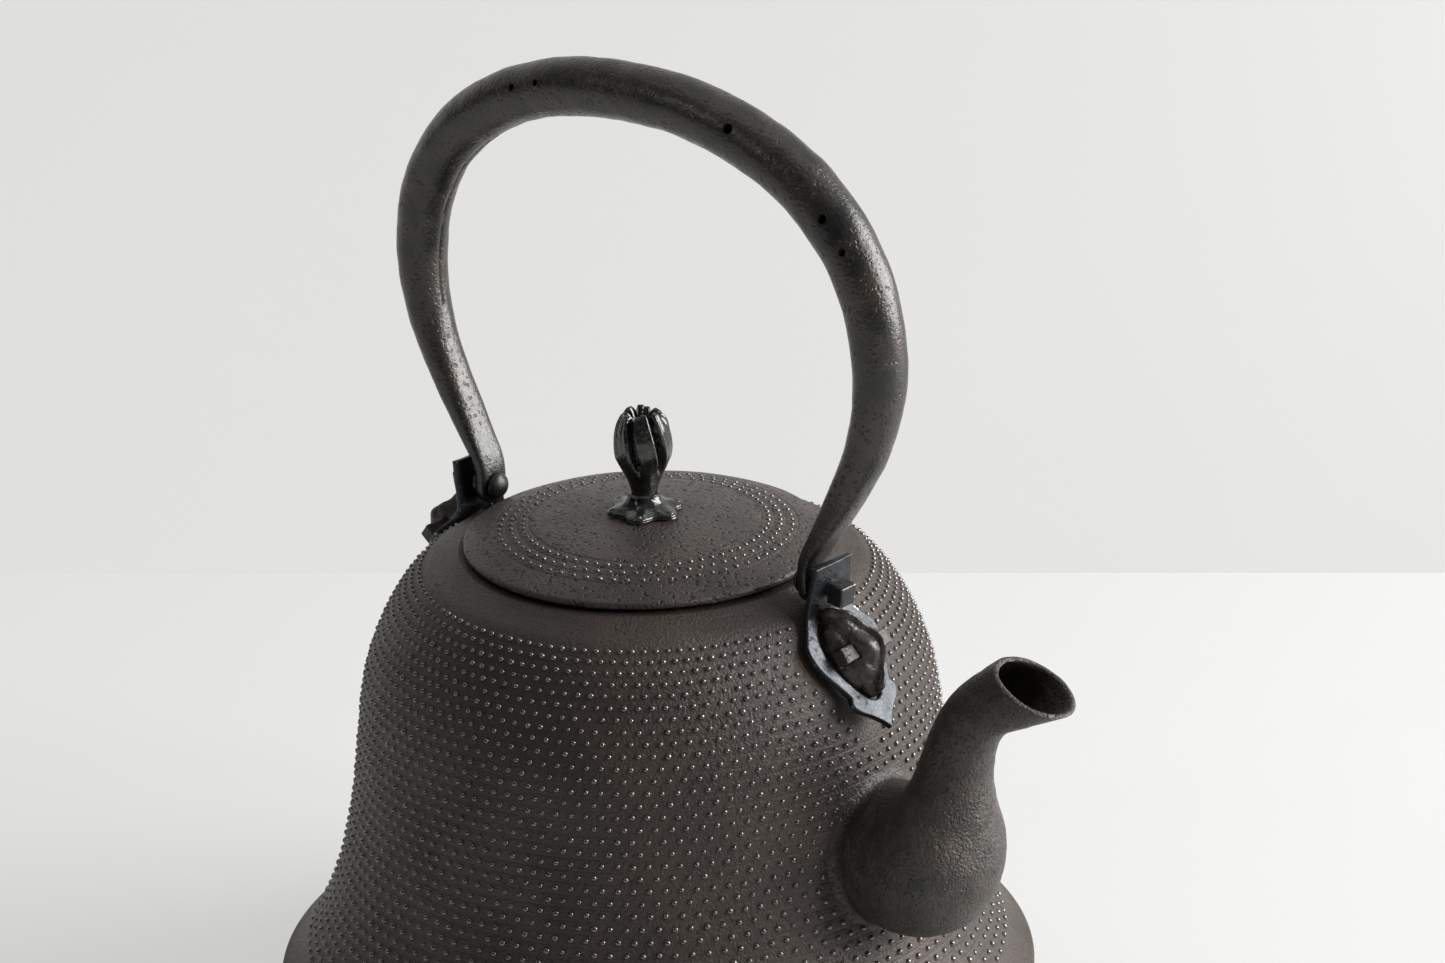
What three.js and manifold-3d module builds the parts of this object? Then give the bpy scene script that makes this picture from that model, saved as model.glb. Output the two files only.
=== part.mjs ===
// A cast-iron kettle with a lift-out tea infuser: bell-shaped shell with a base flange and an
// S-curved spout, a hollow forged bail handle hinged on two pinned brackets, a lid with a bud knob,
// and a perforated steel basket hanging in the mouth.
// Millimetres. The origin is on the kettle's axis at the underside of the base, +Z is up, and the
// spout points along +X, so that spout, brackets and handle all lie in the XZ plane.
import * as THREE from "three";
import { mergeVertices } from "three/addons/utils/BufferGeometryUtils.js";
import Module from "manifold-3d";

const wasm = await Module();
wasm.setup();

// ---------------------------------------------------------------- driving dimensions
const lidRadius = 46;
const rimZ = 135; // upper edge of the lid's rim
const flangeRadius = 99;
const flangeTopZ = 18;
const baseRadius = 58; // the flat that the kettle stands on
const wall = 3; // cast wall of the shell
const pivotX = 54.5; // middle of each handle foot
const pivotZ = rimZ + 1; // the axis that the handle swings about
const handleRise = 113.3; // from the pivot axis up to the middle of the arch's top
const gap = 0.3; // clearance between pieces that touch
const pieceSides = 20; // facets of the small round pieces

// ---------------------------------------------------------------- materials
const finish = (color, roughness, metalness) => () =>
  new THREE.MeshStandardMaterial({ color, roughness, metalness });
const castIron = finish(0x4b413c, 0.75, 0.35);
const forgedIron = finish(0x35322f, 0.5, 0.6);
const platedSteel = finish(0x6d7074, 0.35, 0.85);
const brownSteel = finish(0x6b584b, 0.6, 0.5);
const blackMetal = finish(0x1d1d1c, 0.3, 0.6);
const stainless = finish(0xc2c4c6, 0.25, 0.95);

// ---------------------------------------------------------------- solids and cuts
const loose = (geometry) => (geometry.index ? geometry.toNonIndexed() : geometry.clone());

function toManifold(geometry) {
  const bare = loose(geometry);
  bare.deleteAttribute("normal");
  bare.deleteAttribute("uv");
  const merged = mergeVertices(bare, 1e-4);
  const mesh = new wasm.Mesh({
    numProp: 3,
    vertProperties: new Float32Array(merged.attributes.position.array),
    triVerts: new Uint32Array(merged.index.array),
  });
  return new wasm.Manifold(mesh);
}

function toGeometry(solid) {
  const mesh = solid.getMesh();
  const geometry = new THREE.BufferGeometry();
  geometry.setAttribute("position", new THREE.BufferAttribute(mesh.vertProperties, 3));
  geometry.setIndex(new THREE.BufferAttribute(mesh.triVerts, 1));
  geometry.computeVertexNormals();
  return geometry;
}

const group = new THREE.Group();

function addPiece(name, solid, material, parent = group) {
  const mesh = new THREE.Mesh(toGeometry(solid), material());
  mesh.name = name;
  parent.add(mesh);
}

// A solid of revolution about Z from [radius, height] points that start and end on the axis or
// close on themselves. LatheGeometry turns about Y, so the result is stood up.
function turned(points, sides) {
  const outline = points.map(([r, z]) => new THREE.Vector2(r, z));
  const lathe = new THREE.LatheGeometry(outline, sides);
  lathe.rotateX(Math.PI / 2);
  const solid = toManifold(lathe);
  return solid.volume() > 0 ? solid : toManifold(flipped(lathe));
}

function flipped(geometry) {
  const copy = loose(geometry);
  const p = copy.attributes.position;
  for (let i = 0; i < p.count; i += 3) {
    const [x, y, z] = [p.getX(i), p.getY(i), p.getZ(i)];
    p.setXYZ(i, p.getX(i + 1), p.getY(i + 1), p.getZ(i + 1));
    p.setXYZ(i + 1, x, y, z);
  }
  return copy;
}

const ring = (inner, outer, low, high, sides = pieceSides) =>
  turned([[inner, low], [outer, low], [outer, high], [inner, high], [inner, low]], sides);

// A round bar between two points.
function bar(from, to, radius, sides = 24) {
  const start = new THREE.Vector3(...from);
  const along = new THREE.Vector3(...to).sub(start);
  const rod = new THREE.CylinderGeometry(radius, radius, along.length(), sides);
  const up = new THREE.Vector3(0, 1, 0);
  rod.applyQuaternion(new THREE.Quaternion().setFromUnitVectors(up, along.clone().normalize()));
  rod.translate(...start.addScaledVector(along, 0.5).toArray());
  return toManifold(rod);
}

function block(width, depth, height, centre, turn = new THREE.Quaternion()) {
  const box = new THREE.BoxGeometry(width, depth, height);
  box.applyQuaternion(turn);
  box.translate(...centre);
  return toManifold(box);
}

// A closed skin over a row of rings, each an array of Vector3 with the same count.
function loft(rings) {
  const count = rings[0].length;
  const corners = rings.flat();
  const triangles = [];
  for (let i = 0; i < rings.length - 1; i += 1) {
    for (let j = 0; j < count; j += 1) {
      const a = i * count + j;
      const b = i * count + ((j + 1) % count);
      triangles.push(a, b, b + count, a, b + count, a + count);
    }
  }
  const cap = (start, reverse) => {
    for (let j = 1; j < count - 1; j += 1) {
      const fan = [start, start + j, start + j + 1];
      triangles.push(...(reverse ? fan.reverse() : fan));
    }
  };
  cap(0, true);
  cap((rings.length - 1) * count, false);
  const geometry = new THREE.BufferGeometry();
  const flat = corners.flatMap((c) => [c.x, c.y, c.z]);
  geometry.setAttribute("position", new THREE.BufferAttribute(new Float32Array(flat), 3));
  geometry.setIndex(triangles);
  const solid = toManifold(geometry);
  return solid.volume() > 0 ? solid : toManifold(flipped(geometry));
}

// ---------------------------------------------------------------- kettle shell
// The bell's outer line from the neck down to the flange, as [radius, height].
const neckRadius = 47.6;
const neckZ = rimZ - 2;
const bellLine = new THREE.SplineCurve(
  [
    [neckRadius, neckZ - 0.4],
    [52.2, 130.5],
    [56.4, 128.4],
    [61.9, 122.8],
    [67.6, 113.5],
    [72.4, 101],
    [74.9, 85.5],
    [77.1, 69],
    [80.6, 52.5],
    [84.9, 39],
    [89.2, 30],
    [93.5, 22.6],
  ].map(([r, z]) => new THREE.Vector2(r, z)),
);
const bellSteps = 15;

// The bell line moved outward by a distance along its normal.
function bellOffset(distance) {
  const points = [];
  for (let i = 0; i <= bellSteps; i += 1) {
    const at = bellLine.getPoint(i / bellSteps);
    const tangent = bellLine.getTangent(i / bellSteps);
    points.push([at.x - tangent.y * distance, at.y + tangent.x * distance]);
  }
  return points;
}

const shellSides = 40;
const mouthRadius = 40.4;
const recessRadius = 43.6;
const ledgeZ = rimZ - 4.4;
const flangeEdge = 3;

const spoutHole = { z: 71.5, radius: 11, from: 60, to: 95 }; // from the shell into the spout
const floorTop = wall + 0.2;

function bodyShell() {
  const outer = bellOffset(0);
  const inner = bellOffset(-wall).filter(([r, z]) => r > mouthRadius + 4 && z > 34);
  const outline = [
    [0, 0],
    [baseRadius, 0],
    [70, 3.2],
    [80, 9],
    [87, 14.5],
    [flangeRadius - 1, flangeTopZ - flangeEdge],
    [flangeRadius, flangeTopZ - flangeEdge + 1],
    [flangeRadius, flangeTopZ - 0.6],
    [flangeRadius - 0.8, flangeTopZ],
    ...outer.reverse(),
    [neckRadius - 0.5, neckZ],
    [recessRadius, neckZ],
    [recessRadius, ledgeZ],
    [mouthRadius, ledgeZ],
    [mouthRadius, ledgeZ - 3],
    ...inner,
    [84, 26],
    [79.5, 13.5],
    [70, 6.6],
    [baseRadius - 1, floorTop],
    [0, floorTop],
  ];
  const { z, radius, from, to } = spoutHole;
  return turned(outline, shellSides).subtract(bar([from, 0, z], [to, 0, z], radius));
}

// The whole space that the shell fills, a gap larger all over: pieces that sit on it are cut by it.
function shellEnvelope() {
  const skin = bellOffset(gap).reverse();
  return turned([[0, 10], [flangeRadius, 10], ...skin, [0, neckZ]], shellSides);
}
const envelope = shellEnvelope();

// ---------------------------------------------------------------- spout
const spoutWall = 1.5; // at the lip
const bulbWall = 1.3; // how much thicker the bulb's wall is than the lip's
const spoutSides = 20;
const boreOverrun = 3.5; // how far the bore is cut past both ends
// The spout's side view from inside the shell's wall to the lip: [inner x, inner z, outer x,
// outer z, half width]. The inner line climbs next to the shell and the outer one goes round the
// bulb, so that the sections fan out about the crook where the neck leaves the bulb.
const spoutStations = [
  [70, 87, 70, 55.5, 16.4],
  [76, 88, 78, 53.6, 17.6],
  [80.5, 89, 86, 52, 18.3],
  [83.5, 90.2, 94, 53.2, 18.6],
  [85.4, 91.6, 101.5, 57.6, 18.3],
  [86.6, 93, 106.6, 65, 17.2],
  [87.4, 94.6, 108.6, 74.5, 15.2],
  [88.1, 96.4, 107.8, 85, 12.2],
  [88.9, 98.6, 107.1, 95, 9.9],
  [90.3, 102.6, 107.6, 101, 8.9],
  [93, 109.8, 109, 106.4, 8.1],
  [97.3, 117.6, 111.7, 110.6, 7.9],
  [103.6, 124.4, 116.6, 114, 8.2],
  [111, 130.5, 131, 121.5, 8.9],
];

// One oval section; lift moves it out past the lip.
function spoutRing([innerX, innerZ, outerX, outerZ, halfWidth], thinner, lift = 0) {
  const inner = new THREE.Vector3(innerX, 0, innerZ);
  const outer = new THREE.Vector3(outerX, 0, outerZ);
  const centre = inner.clone().lerp(outer, 0.5);
  const along = outer.clone().sub(inner).normalize();
  const ahead = new THREE.Vector3(-along.z, 0, along.x);
  centre.addScaledVector(ahead, lift);
  const long = inner.distanceTo(outer) / 2 - thinner;
  const wide = halfWidth - thinner;
  const points = [];
  for (let j = 0; j < spoutSides; j += 1) {
    const a = (2 * Math.PI * j) / spoutSides;
    const across = new THREE.Vector3(0, wide * Math.sin(a), 0);
    points.push(centre.clone().addScaledVector(along, long * Math.cos(a)).add(across));
  }
  return points;
}

function spout() {
  const last = spoutStations.length - 1;
  const outer = loft(spoutStations.map((station) => spoutRing(station, 0)));
  const bore = spoutStations.map((station, i) =>
    spoutRing(station, spoutWall + bulbWall * (1 - i / last)),
  );
  bore.unshift(spoutRing(spoutStations[0], spoutWall + bulbWall, -boreOverrun));
  bore.push(spoutRing(spoutStations[last], spoutWall, boreOverrun));
  return outer.subtract(loft(bore)).subtract(envelope);
}

// ---------------------------------------------------------------- lugs, brackets and their pins
// Each is drawn at the front (+X), and its copy for the back is turned half round.
const plate = 1.8; // bracket thickness
const upperLean = THREE.MathUtils.degToRad(10); // from the vertical
const lowerLean = THREE.MathUtils.degToRad(51.7); // slope of the part that lies on the shoulder
const bendPoint = new THREE.Vector3(57.5, 0, rimZ - 6.2); // inner face at the bend
const upperDown = new THREE.Vector3(-Math.sin(upperLean), 0, -Math.cos(upperLean));
const lowerDown = new THREE.Vector3(Math.cos(lowerLean), 0, -Math.sin(lowerLean));
const upperTop = 14.4; // bend to the top edge
const lowerTip = 33; // bend to the pointed tip

// A flat plate from an outline drawn as (y, distance down from the bend).
function bentHalf(shape, down) {
  const sheet = new THREE.ExtrudeGeometry(shape, {
    depth: plate,
    bevelEnabled: false,
    curveSegments: 4,
  });
  const across = new THREE.Vector3(0, 1, 0);
  const outward = new THREE.Vector3().crossVectors(across, down);
  const sign = outward.x < 0 ? -1 : 1;
  outward.multiplyScalar(sign);
  const frame = new THREE.Matrix4().makeBasis(across.clone().multiplyScalar(-sign), down, outward);
  sheet.applyMatrix4(frame);
  sheet.translate(...bendPoint.toArray());
  return toManifold(frame.determinant() > 0 ? sheet : flipped(sheet));
}

function upperOutline() {
  const shape = new THREE.Shape();
  shape.moveTo(-8, 0.4);
  shape.lineTo(8, 0.4);
  shape.lineTo(6.9, -upperTop);
  shape.lineTo(-6.9, -upperTop);
  shape.closePath();
  return shape;
}

// Half of the lower outline from the bend to the tip, mirrored for the other half.
function lowerOutline() {
  const shape = new THREE.Shape();
  shape.moveTo(8, -0.4);
  shape.quadraticCurveTo(9.2, 3, 12.4, 6.5);
  shape.quadraticCurveTo(13.4, 11, 10.6, 16);
  shape.quadraticCurveTo(8, 20.5, 7.4, 22);
  shape.quadraticCurveTo(9.6, 24.4, 5.8, 27.2);
  shape.quadraticCurveTo(2.4, 29.2, 0, lowerTip);
  shape.quadraticCurveTo(-2.4, 29.2, -5.8, 27.2);
  shape.quadraticCurveTo(-9.6, 24.4, -7.4, 22);
  shape.quadraticCurveTo(-8, 20.5, -10.6, 16);
  shape.quadraticCurveTo(-13.4, 11, -12.4, 6.5);
  shape.quadraticCurveTo(-9.2, 3, -8, -0.4);
  shape.closePath();
  shape.holes.push(dropOpening());
  return shape;
}

// The drop-shaped opening that the lug stands through.
function dropOpening() {
  const drop = new THREE.Path();
  drop.moveTo(0, 1.2);
  drop.bezierCurveTo(7, 1.2, 8.4, 6, 8.2, 10.5);
  drop.bezierCurveTo(8, 16, 4.6, 21, 2.6, 23.6);
  drop.quadraticCurveTo(0, 25.8, -2.6, 23.6);
  drop.bezierCurveTo(-4.6, 21, -8, 16, -8.2, 10.5);
  drop.bezierCurveTo(-8.4, 6, -7, 1.2, 0, 1.2);
  return drop;
}

const studHole = 2.5;

function bracket() {
  return bentHalf(upperOutline(), upperDown)
    .add(bentHalf(lowerOutline(), lowerDown))
    .subtract(bar([pivotX, 0, pivotZ], [pivotX + 12, 0, pivotZ], studHole));
}

// A point on the lower plate's inner face, s down from the bend, raised off that face by lift.
const lowerOutward = new THREE.Vector3(Math.sin(lowerLean), 0, Math.cos(lowerLean));
const onLowerPlate = (s, lift) =>
  bendPoint.clone().addScaledVector(lowerDown, s).addScaledVector(lowerOutward, lift);
const lowerTurn = new THREE.Quaternion().setFromAxisAngle(new THREE.Vector3(0, 1, 0), lowerLean);

const lugMiddle = 12.6;
const lugSize = { long: 10.2, wide: 6.6, tall: 8.6 };
const pinSide = 4;
const pinLength = 17.5;
const pinShift = 1.75; // the pin stands out further on one side
const pinLift = plate + gap + pinSide / 2;

function crossPinBar(side, length) {
  const middle = onLowerPlate(lugMiddle, pinLift).add(new THREE.Vector3(0, pinShift, 0));
  return block(side, length, side, middle.toArray(), lowerTurn);
}

function lug() {
  const knob = new THREE.SphereGeometry(1, 16, 12);
  knob.scale(lugSize.long, lugSize.wide, lugSize.tall);
  knob.applyQuaternion(lowerTurn);
  knob.translate(...onLowerPlate(lugMiddle, 0.8).toArray());
  return toManifold(knob)
    .subtract(crossPinBar(pinSide + 2 * gap, pinLength + 4))
    .subtract(envelope);
}

const crossPin = () => crossPinBar(pinSide, pinLength);

const foot = { thickness: 4.2, width: 9.6 };
const footOuter = pivotX + foot.thickness / 2;
const footInner = pivotX - foot.thickness / 2;
const shank = 2.1;
const studHeadSide = 5.8;
const studHeadX = 61.5;
const studEndX = 65.8;
const rivet = { radius: 3.6, height: 2.2 };

// A stud with a square head outside the bracket and a domed rivet end inside the handle's foot.
function stud() {
  const seatX = footInner - gap;
  const dome = new THREE.SphereGeometry(rivet.radius, 12, 6);
  dome.scale(rivet.height / rivet.radius, 1, 1);
  dome.translate(seatX, 0, pivotZ);
  const beyond = 2 * rivet.radius;
  const domeHalf = toManifold(dome).subtract(
    block(beyond, 2 * beyond, 2 * beyond, [seatX + beyond / 2, 0, pivotZ]),
  );
  const length = studEndX - studHeadX;
  const head = block(length, studHeadSide, studHeadSide, [(studHeadX + studEndX) / 2, 0, pivotZ]);
  return bar([seatX - rivet.height / 2, 0, pivotZ], [studHeadX + 1, 0, pivotZ], shank)
    .add(head)
    .add(domeHalf);
}

const spacerSize = { radius: 3.6, thick: 1 };

function spacer() {
  const near = footOuter + gap;
  const far = near + spacerSize.thick;
  return bar([near, 0, pivotZ], [far, 0, pivotZ], spacerSize.radius, pieceSides).subtract(
    bar([near - 1, 0, pivotZ], [far + 1, 0, pivotZ], studHole, pieceSides),
  );
}

const pairPieces = [
  ["lug", lug, castIron],
  ["bracket", bracket, platedSteel],
  ["cross_pin", crossPin, brownSteel],
  ["stud", stud, forgedIron],
  ["spacer", spacer, platedSteel],
];

// ---------------------------------------------------------------- handle
// Half of the bail: [x, height above the pivot, half thickness, half width, squareness]. It goes
// from the rounded foot up the leg to the top of the arch; 2 is a round section.
const legStations = [
  [pivotX, -4.7, 1.6, 2.2, 4],
  [pivotX, -3.6, 2.1, 3.6, 4],
  [pivotX, -1.8, 2.1, 4.6, 4],
  [pivotX, 0, 2.1, 4.8, 4],
  [pivotX, 4, 2.1, 4.8, 4],
  [55.6, 7.6, 2.4, 4.9, 3.6],
  [58.2, 12, 2.9, 5, 3.2],
  [62.6, 19.5, 3.8, 5.2, 2.8],
  [67.4, 28, 4.7, 5.5, 2.4],
  [72, 38, 5.6, 6, 2.1],
  [75.2, 50, 6.4, 6.6, 2],
  [75.6, 62, 6.9, 7, 2],
  [72.8, 75, 7.2, 7.2, 2],
  [66.4, 87, 7.4, 7.4, 2],
  [57, 96.6, 7.5, 7.5, 2],
  [46, 103.6, 7.5, 7.5, 2],
  [32, 109.2, 7.5, 7.5, 2],
  [16.5, 112.4, 7.5, 7.5, 2],
];
const archTop = [0, handleRise, 7.5, 7.5, 2];
const handleStations = [
  ...legStations,
  archTop,
  ...legStations.map(([x, ...rest]) => [-x, ...rest]).reverse(),
];

function handleTube(thinner, firstStation, sides) {
  const used = handleStations.slice(firstStation, handleStations.length - firstStation);
  const rings = used.map(([x, h, thick, wide, square], i) => {
    const before = used[Math.max(i - 1, 0)];
    const after = used[Math.min(i + 1, used.length - 1)];
    const along = new THREE.Vector3(after[0] - before[0], 0, after[1] - before[1]).normalize();
    const outward = new THREE.Vector3(along.z, 0, -along.x);
    const middle = new THREE.Vector3(x, 0, pivotZ + h);
    const points = [];
    for (let j = 0; j < sides; j += 1) {
      const a = (2 * Math.PI * (j + 0.5)) / sides;
      const [c, s] = [Math.cos(a), Math.sin(a)];
      const reach = (Math.abs(c) ** square + Math.abs(s) ** square) ** (-1 / square);
      points.push(
        middle
          .clone()
          .addScaledVector(outward, (thick - thinner) * reach * c)
          .add(new THREE.Vector3(0, (wide - thinner) * reach * s, 0)),
      );
    }
    return points;
  });
  return loft(rings);
}

// Worm-eaten holes through one wall of the hollow arch: [x, height above the pivot, turn from
// upright towards -Y in degrees, radius].
const wormHoles = [
  [35.7, 108, 62, 1.3],
  [63.9, 90.1, 56, 1.1],
  [69.7, 81.8, 48, 0.9],
  [-34.2, 108.5, 70, 0.9],
  [-26, 110.8, 70, 0.8],
];
const wormReach = 12;
const hollow = { wall: 1.7, firstStation: 8, sides: 8 }; // the legs below it are solid
const handleSides = 14;

function handle() {
  const inside = handleTube(hollow.wall, hollow.firstStation, hollow.sides);
  let bail = handleTube(0, 0, handleSides).subtract(inside);
  for (const [x, h, turn, radius] of wormHoles) {
    const a = THREE.MathUtils.degToRad(turn);
    const end = [x, -wormReach * Math.sin(a), pivotZ + h + wormReach * Math.cos(a)];
    bail = bail.subtract(bar([x, 0, pivotZ + h], end, radius, 12));
  }
  for (const side of [-1, 1]) {
    const from = [side * (footInner - 2), 0, pivotZ];
    bail = bail.subtract(bar(from, [side * (footOuter + 2), 0, pivotZ], studHole));
  }
  return bail;
}

// ---------------------------------------------------------------- lid
const domeRise = 6.2;
const domePower = 2.6;
const lidEdge = 1.5;
const lidThickness = 2.2;
const spigot = { inner: 36.8, outer: 38.8, low: rimZ - 8 };
const stemHole = 2.6;
const domeZ = (r) => rimZ + domeRise * (1 - (r / lidRadius) ** domePower);

function lid() {
  const steps = 7;
  const top = [];
  for (let i = 0; i <= steps; i += 1) {
    const r = stemHole + ((lidRadius - 0.4 - stemHole) * i) / steps;
    top.push([r, domeZ(r)]);
  }
  const under = [];
  for (let i = 0; i <= 6; i += 1) {
    const r = spigot.inner - ((spigot.inner - stemHole) * i) / 6;
    under.push([r, domeZ(r) - lidThickness]);
  }
  return turned(
    [
      ...top,
      [lidRadius, rimZ - 0.4],
      [lidRadius, rimZ - lidEdge],
      [spigot.outer, rimZ - lidEdge],
      [spigot.outer, spigot.low],
      [spigot.inner, spigot.low],
      ...under,
      [stemHole, domeZ(stemHole)],
    ],
    shellSides,
  );
}

// ---------------------------------------------------------------- knob
const seatZ = domeZ(0) + gap;
const petals = 6;
const knobSides = 4 * petals;

// A turned form whose radius swells at each petal: [radius, height, swell].
function petalled(stations, sides) {
  const rings = stations.map(([radius, z, swell]) => {
    const points = [];
    for (let j = 0; j < sides; j += 1) {
      const a = (2 * Math.PI * j) / sides;
      const r = radius * (1 + swell * Math.cos(petals * a));
      points.push(new THREE.Vector3(r * Math.cos(a), r * Math.sin(a), z));
    }
    return points;
  });
  return loft(rings);
}

function knobSeat() {
  return petalled(
    [
      [8.6, seatZ, 0.06],
      [8.8, seatZ + 0.8, 0.06],
      [6.6, seatZ + 1.8, 0.06],
      [4.8, seatZ + 3.2, 0.03],
      [4, seatZ + 5, 0],
    ],
    knobSides,
  ).subtract(bar([0, 0, seatZ - 1], [0, 0, seatZ + 8], stemHole));
}

const washerTop = domeZ(0) - lidThickness - gap;
const washerThickness = 1;

function knobBud() {
  const low = seatZ + 5 + gap;
  const bud = petalled(
    [
      [3.7, low, 0],
      [3.8, low + 2.4, 0.02],
      [5.6, low + 5.4, 0.06],
      [7.1, low + 9.4, 0.07],
      [7.3, low + 13, 0.07],
      [6.6, low + 17, 0.06],
      [4.9, low + 20.2, 0.05],
      [2.6, low + 21.6, 0],
    ],
    knobSides,
  );
  const peenTop = washerTop - washerThickness - gap;
  return bud
    .add(bar([0, 0, peenTop - 1], [0, 0, low + 2], stemHole - gap))
    .add(turned([[0, peenTop - 1.6], [2.6, peenTop - 1.4], [3.6, peenTop], [0, peenTop]], 24));
}

const knobWasher = () => ring(stemHole, 6, washerTop - washerThickness, washerTop);

// ---------------------------------------------------------------- infuser basket
const basket = { outer: 39.8, sheet: 0.5, top: rimZ - 3, low: rimZ - 68 };
const basketRim = { inner: basket.outer + gap, outer: 43.2, low: ledgeZ + gap, thick: 1.2 };
const slot = { width: 2, columns: 16, rows: 2, height: 24, first: 9, pitch: 28 };
const drain = { radius: 1.7, pitch: 12, rings: 3 };

const infuserRim = () =>
  ring(basketRim.inner, basketRim.outer, basketRim.low, basketRim.low + basketRim.thick, shellSides);

function infuserWall() {
  let sheet = ring(basket.outer - basket.sheet, basket.outer, basket.low, basket.top, shellSides);
  for (let row = 0; row < slot.rows; row += 1) {
    for (let k = 0; k < slot.columns / 2; k += 1) {
      const turn = new THREE.Quaternion().setFromAxisAngle(
        new THREE.Vector3(0, 0, 1),
        (2 * Math.PI * (k + 0.25)) / slot.columns,
      );
      const z = basket.low + slot.first + slot.pitch * row + slot.height / 2;
      sheet = sheet.subtract(block(100, slot.width, slot.height, [0, 0, z], turn));
    }
  }
  return sheet;
}

function infuserBase() {
  const radius = basket.outer - basket.sheet - gap;
  let disc = turned(
    [[0, basket.low], [radius, basket.low], [radius, basket.low + 0.7], [0, basket.low + 0.7]],
    48,
  );
  for (let i = 0; i < drain.rings; i += 1) {
    const count = Math.max(1, 6 * i);
    for (let k = 0; k < count; k += 1) {
      const a = (2 * Math.PI * k) / count;
      const [x, y] = [drain.pitch * i * Math.cos(a), drain.pitch * i * Math.sin(a)];
      disc = disc.subtract(bar([x, y, basket.low - 2], [x, y, basket.low + 3], drain.radius, 8));
    }
  }
  return disc;
}

// ---------------------------------------------------------------- the assembly
addPiece("body_shell", bodyShell(), castIron);
addPiece("spout", spout(), castIron);
const rear = new THREE.Group();
rear.rotation.z = Math.PI;
group.add(rear);
for (const [name, make, material] of pairPieces) {
  addPiece(`front_${name}`, make(), material);
  addPiece(`rear_${name}`, make(), material, rear);
}
addPiece("handle_tube", handle(), forgedIron);
addPiece("lid_plate", lid(), castIron);
addPiece("knob_seat", knobSeat(), blackMetal);
addPiece("knob_bud", knobBud(), blackMetal);
addPiece("knob_washer", knobWasher(), platedSteel);
addPiece("infuser_rim", infuserRim(), stainless);
addPiece("infuser_wall", infuserWall(), stainless);
addPiece("infuser_base", infuserBase(), stainless);

export default group;
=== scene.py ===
import math

import bmesh
import bpy
import numpy as np
from mathutils import Matrix, Quaternion, Vector, noise


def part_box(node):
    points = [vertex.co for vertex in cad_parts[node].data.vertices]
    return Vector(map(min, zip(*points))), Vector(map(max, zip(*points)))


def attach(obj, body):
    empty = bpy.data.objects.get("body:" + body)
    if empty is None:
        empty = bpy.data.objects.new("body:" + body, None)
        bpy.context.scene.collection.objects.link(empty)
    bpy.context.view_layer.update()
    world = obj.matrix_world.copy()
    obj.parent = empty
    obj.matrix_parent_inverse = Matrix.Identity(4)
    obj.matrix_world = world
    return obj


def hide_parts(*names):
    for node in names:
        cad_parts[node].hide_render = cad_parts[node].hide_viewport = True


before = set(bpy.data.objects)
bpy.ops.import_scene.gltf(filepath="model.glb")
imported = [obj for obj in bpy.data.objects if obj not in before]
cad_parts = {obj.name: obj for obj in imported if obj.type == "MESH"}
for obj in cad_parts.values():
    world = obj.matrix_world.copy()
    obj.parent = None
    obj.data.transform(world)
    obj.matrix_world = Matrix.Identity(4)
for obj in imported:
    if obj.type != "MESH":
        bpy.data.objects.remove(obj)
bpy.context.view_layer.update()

# ---------------------------------------------------------------- size, taken from the frame
# Lengths below are in millimetres of a kettle whose lid has this radius. The frame says how many
# metres that millimetre is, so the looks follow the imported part.
LID_RADIUS = 46.0
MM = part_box("lid_plate")[1].x / LID_RADIUS
NECK_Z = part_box("body_shell")[1].z / MM
RIM_Z = NECK_Z + 2
FLANGE_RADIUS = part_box("body_shell")[1].x / MM
PIVOT_Z = RIM_Z + 1
PIVOT_X = 54.5
LEDGE_Z = RIM_Z - 4.4
GAP = 0.3

WELD = 0.005

RANDOM = np.random.default_rng(7)


# ---------------------------------------------------------------- lines and skins
def through(points, steps):
    """A smooth line through the points, with this many samples in each span."""
    p = np.asarray(points, float)
    rows = []
    for i in range(len(p) - 1):
        before, a, b, after = p[max(i - 1, 0)], p[i], p[i + 1], p[min(i + 2, len(p) - 1)]
        leave, arrive = (b - before) / 2, (after - a) / 2
        for t in np.arange(steps) / steps:
            rows.append(
                (2 * a - 2 * b + leave + arrive) * t**3
                + (3 * b - 3 * a - 2 * leave - arrive) * t**2
                + leave * t
                + a
            )
    rows.append(p[-1])
    return np.array(rows)


def run_along(line):
    """How far along the line each of its points is."""
    steps = np.linalg.norm(np.diff(line, axis=0), axis=1)
    return np.concatenate([[0], np.cumsum(steps)])


def angles(sides):
    return 2 * np.pi * np.arange(sides) / sides


def around(radius, angle, z):
    """Points at this distance from the Z axis, at this angle round it and at this height."""
    return np.stack([radius * np.cos(angle), radius * np.sin(angle), z + 0 * angle], axis=-1)


def turned(profile, sides):
    """Rings of a [radius, height] profile turned about Z."""
    profile = np.asarray(profile, float)
    return around(profile[:, :1], angles(sides), profile[:, 1:])


def skin(rings, wrap=False):
    """Corners and faces of a closed skin over rows of rings, capped at both ends or wrapped."""
    rows, count = rings.shape[:2]
    i, j = np.meshgrid(np.arange(rows if wrap else rows - 1), np.arange(count), indexing="ij")
    up, on = (i + 1) % rows, (j + 1) % count
    quads = np.stack([i * count + j, i * count + on, up * count + on, up * count + j], axis=-1)
    faces = quads.reshape(-1, 4).tolist()
    if not wrap:
        faces.append(list(range(count))[::-1])
        faces.append([(rows - 1) * count + k for k in range(count)])
    return rings.reshape(-1, 3), faces


def joined(parts):
    """Several (corners, faces) as one."""
    corners, faces, start = [], [], 0
    for points, polygons in parts:
        corners.append(points)
        faces.extend([[k + start for k in polygon] for polygon in polygons])
        start += len(points)
    return np.concatenate(corners), faces


def unit(v):
    return v / np.maximum(np.linalg.norm(v, axis=-1, keepdims=True), 1e-12)


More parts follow.
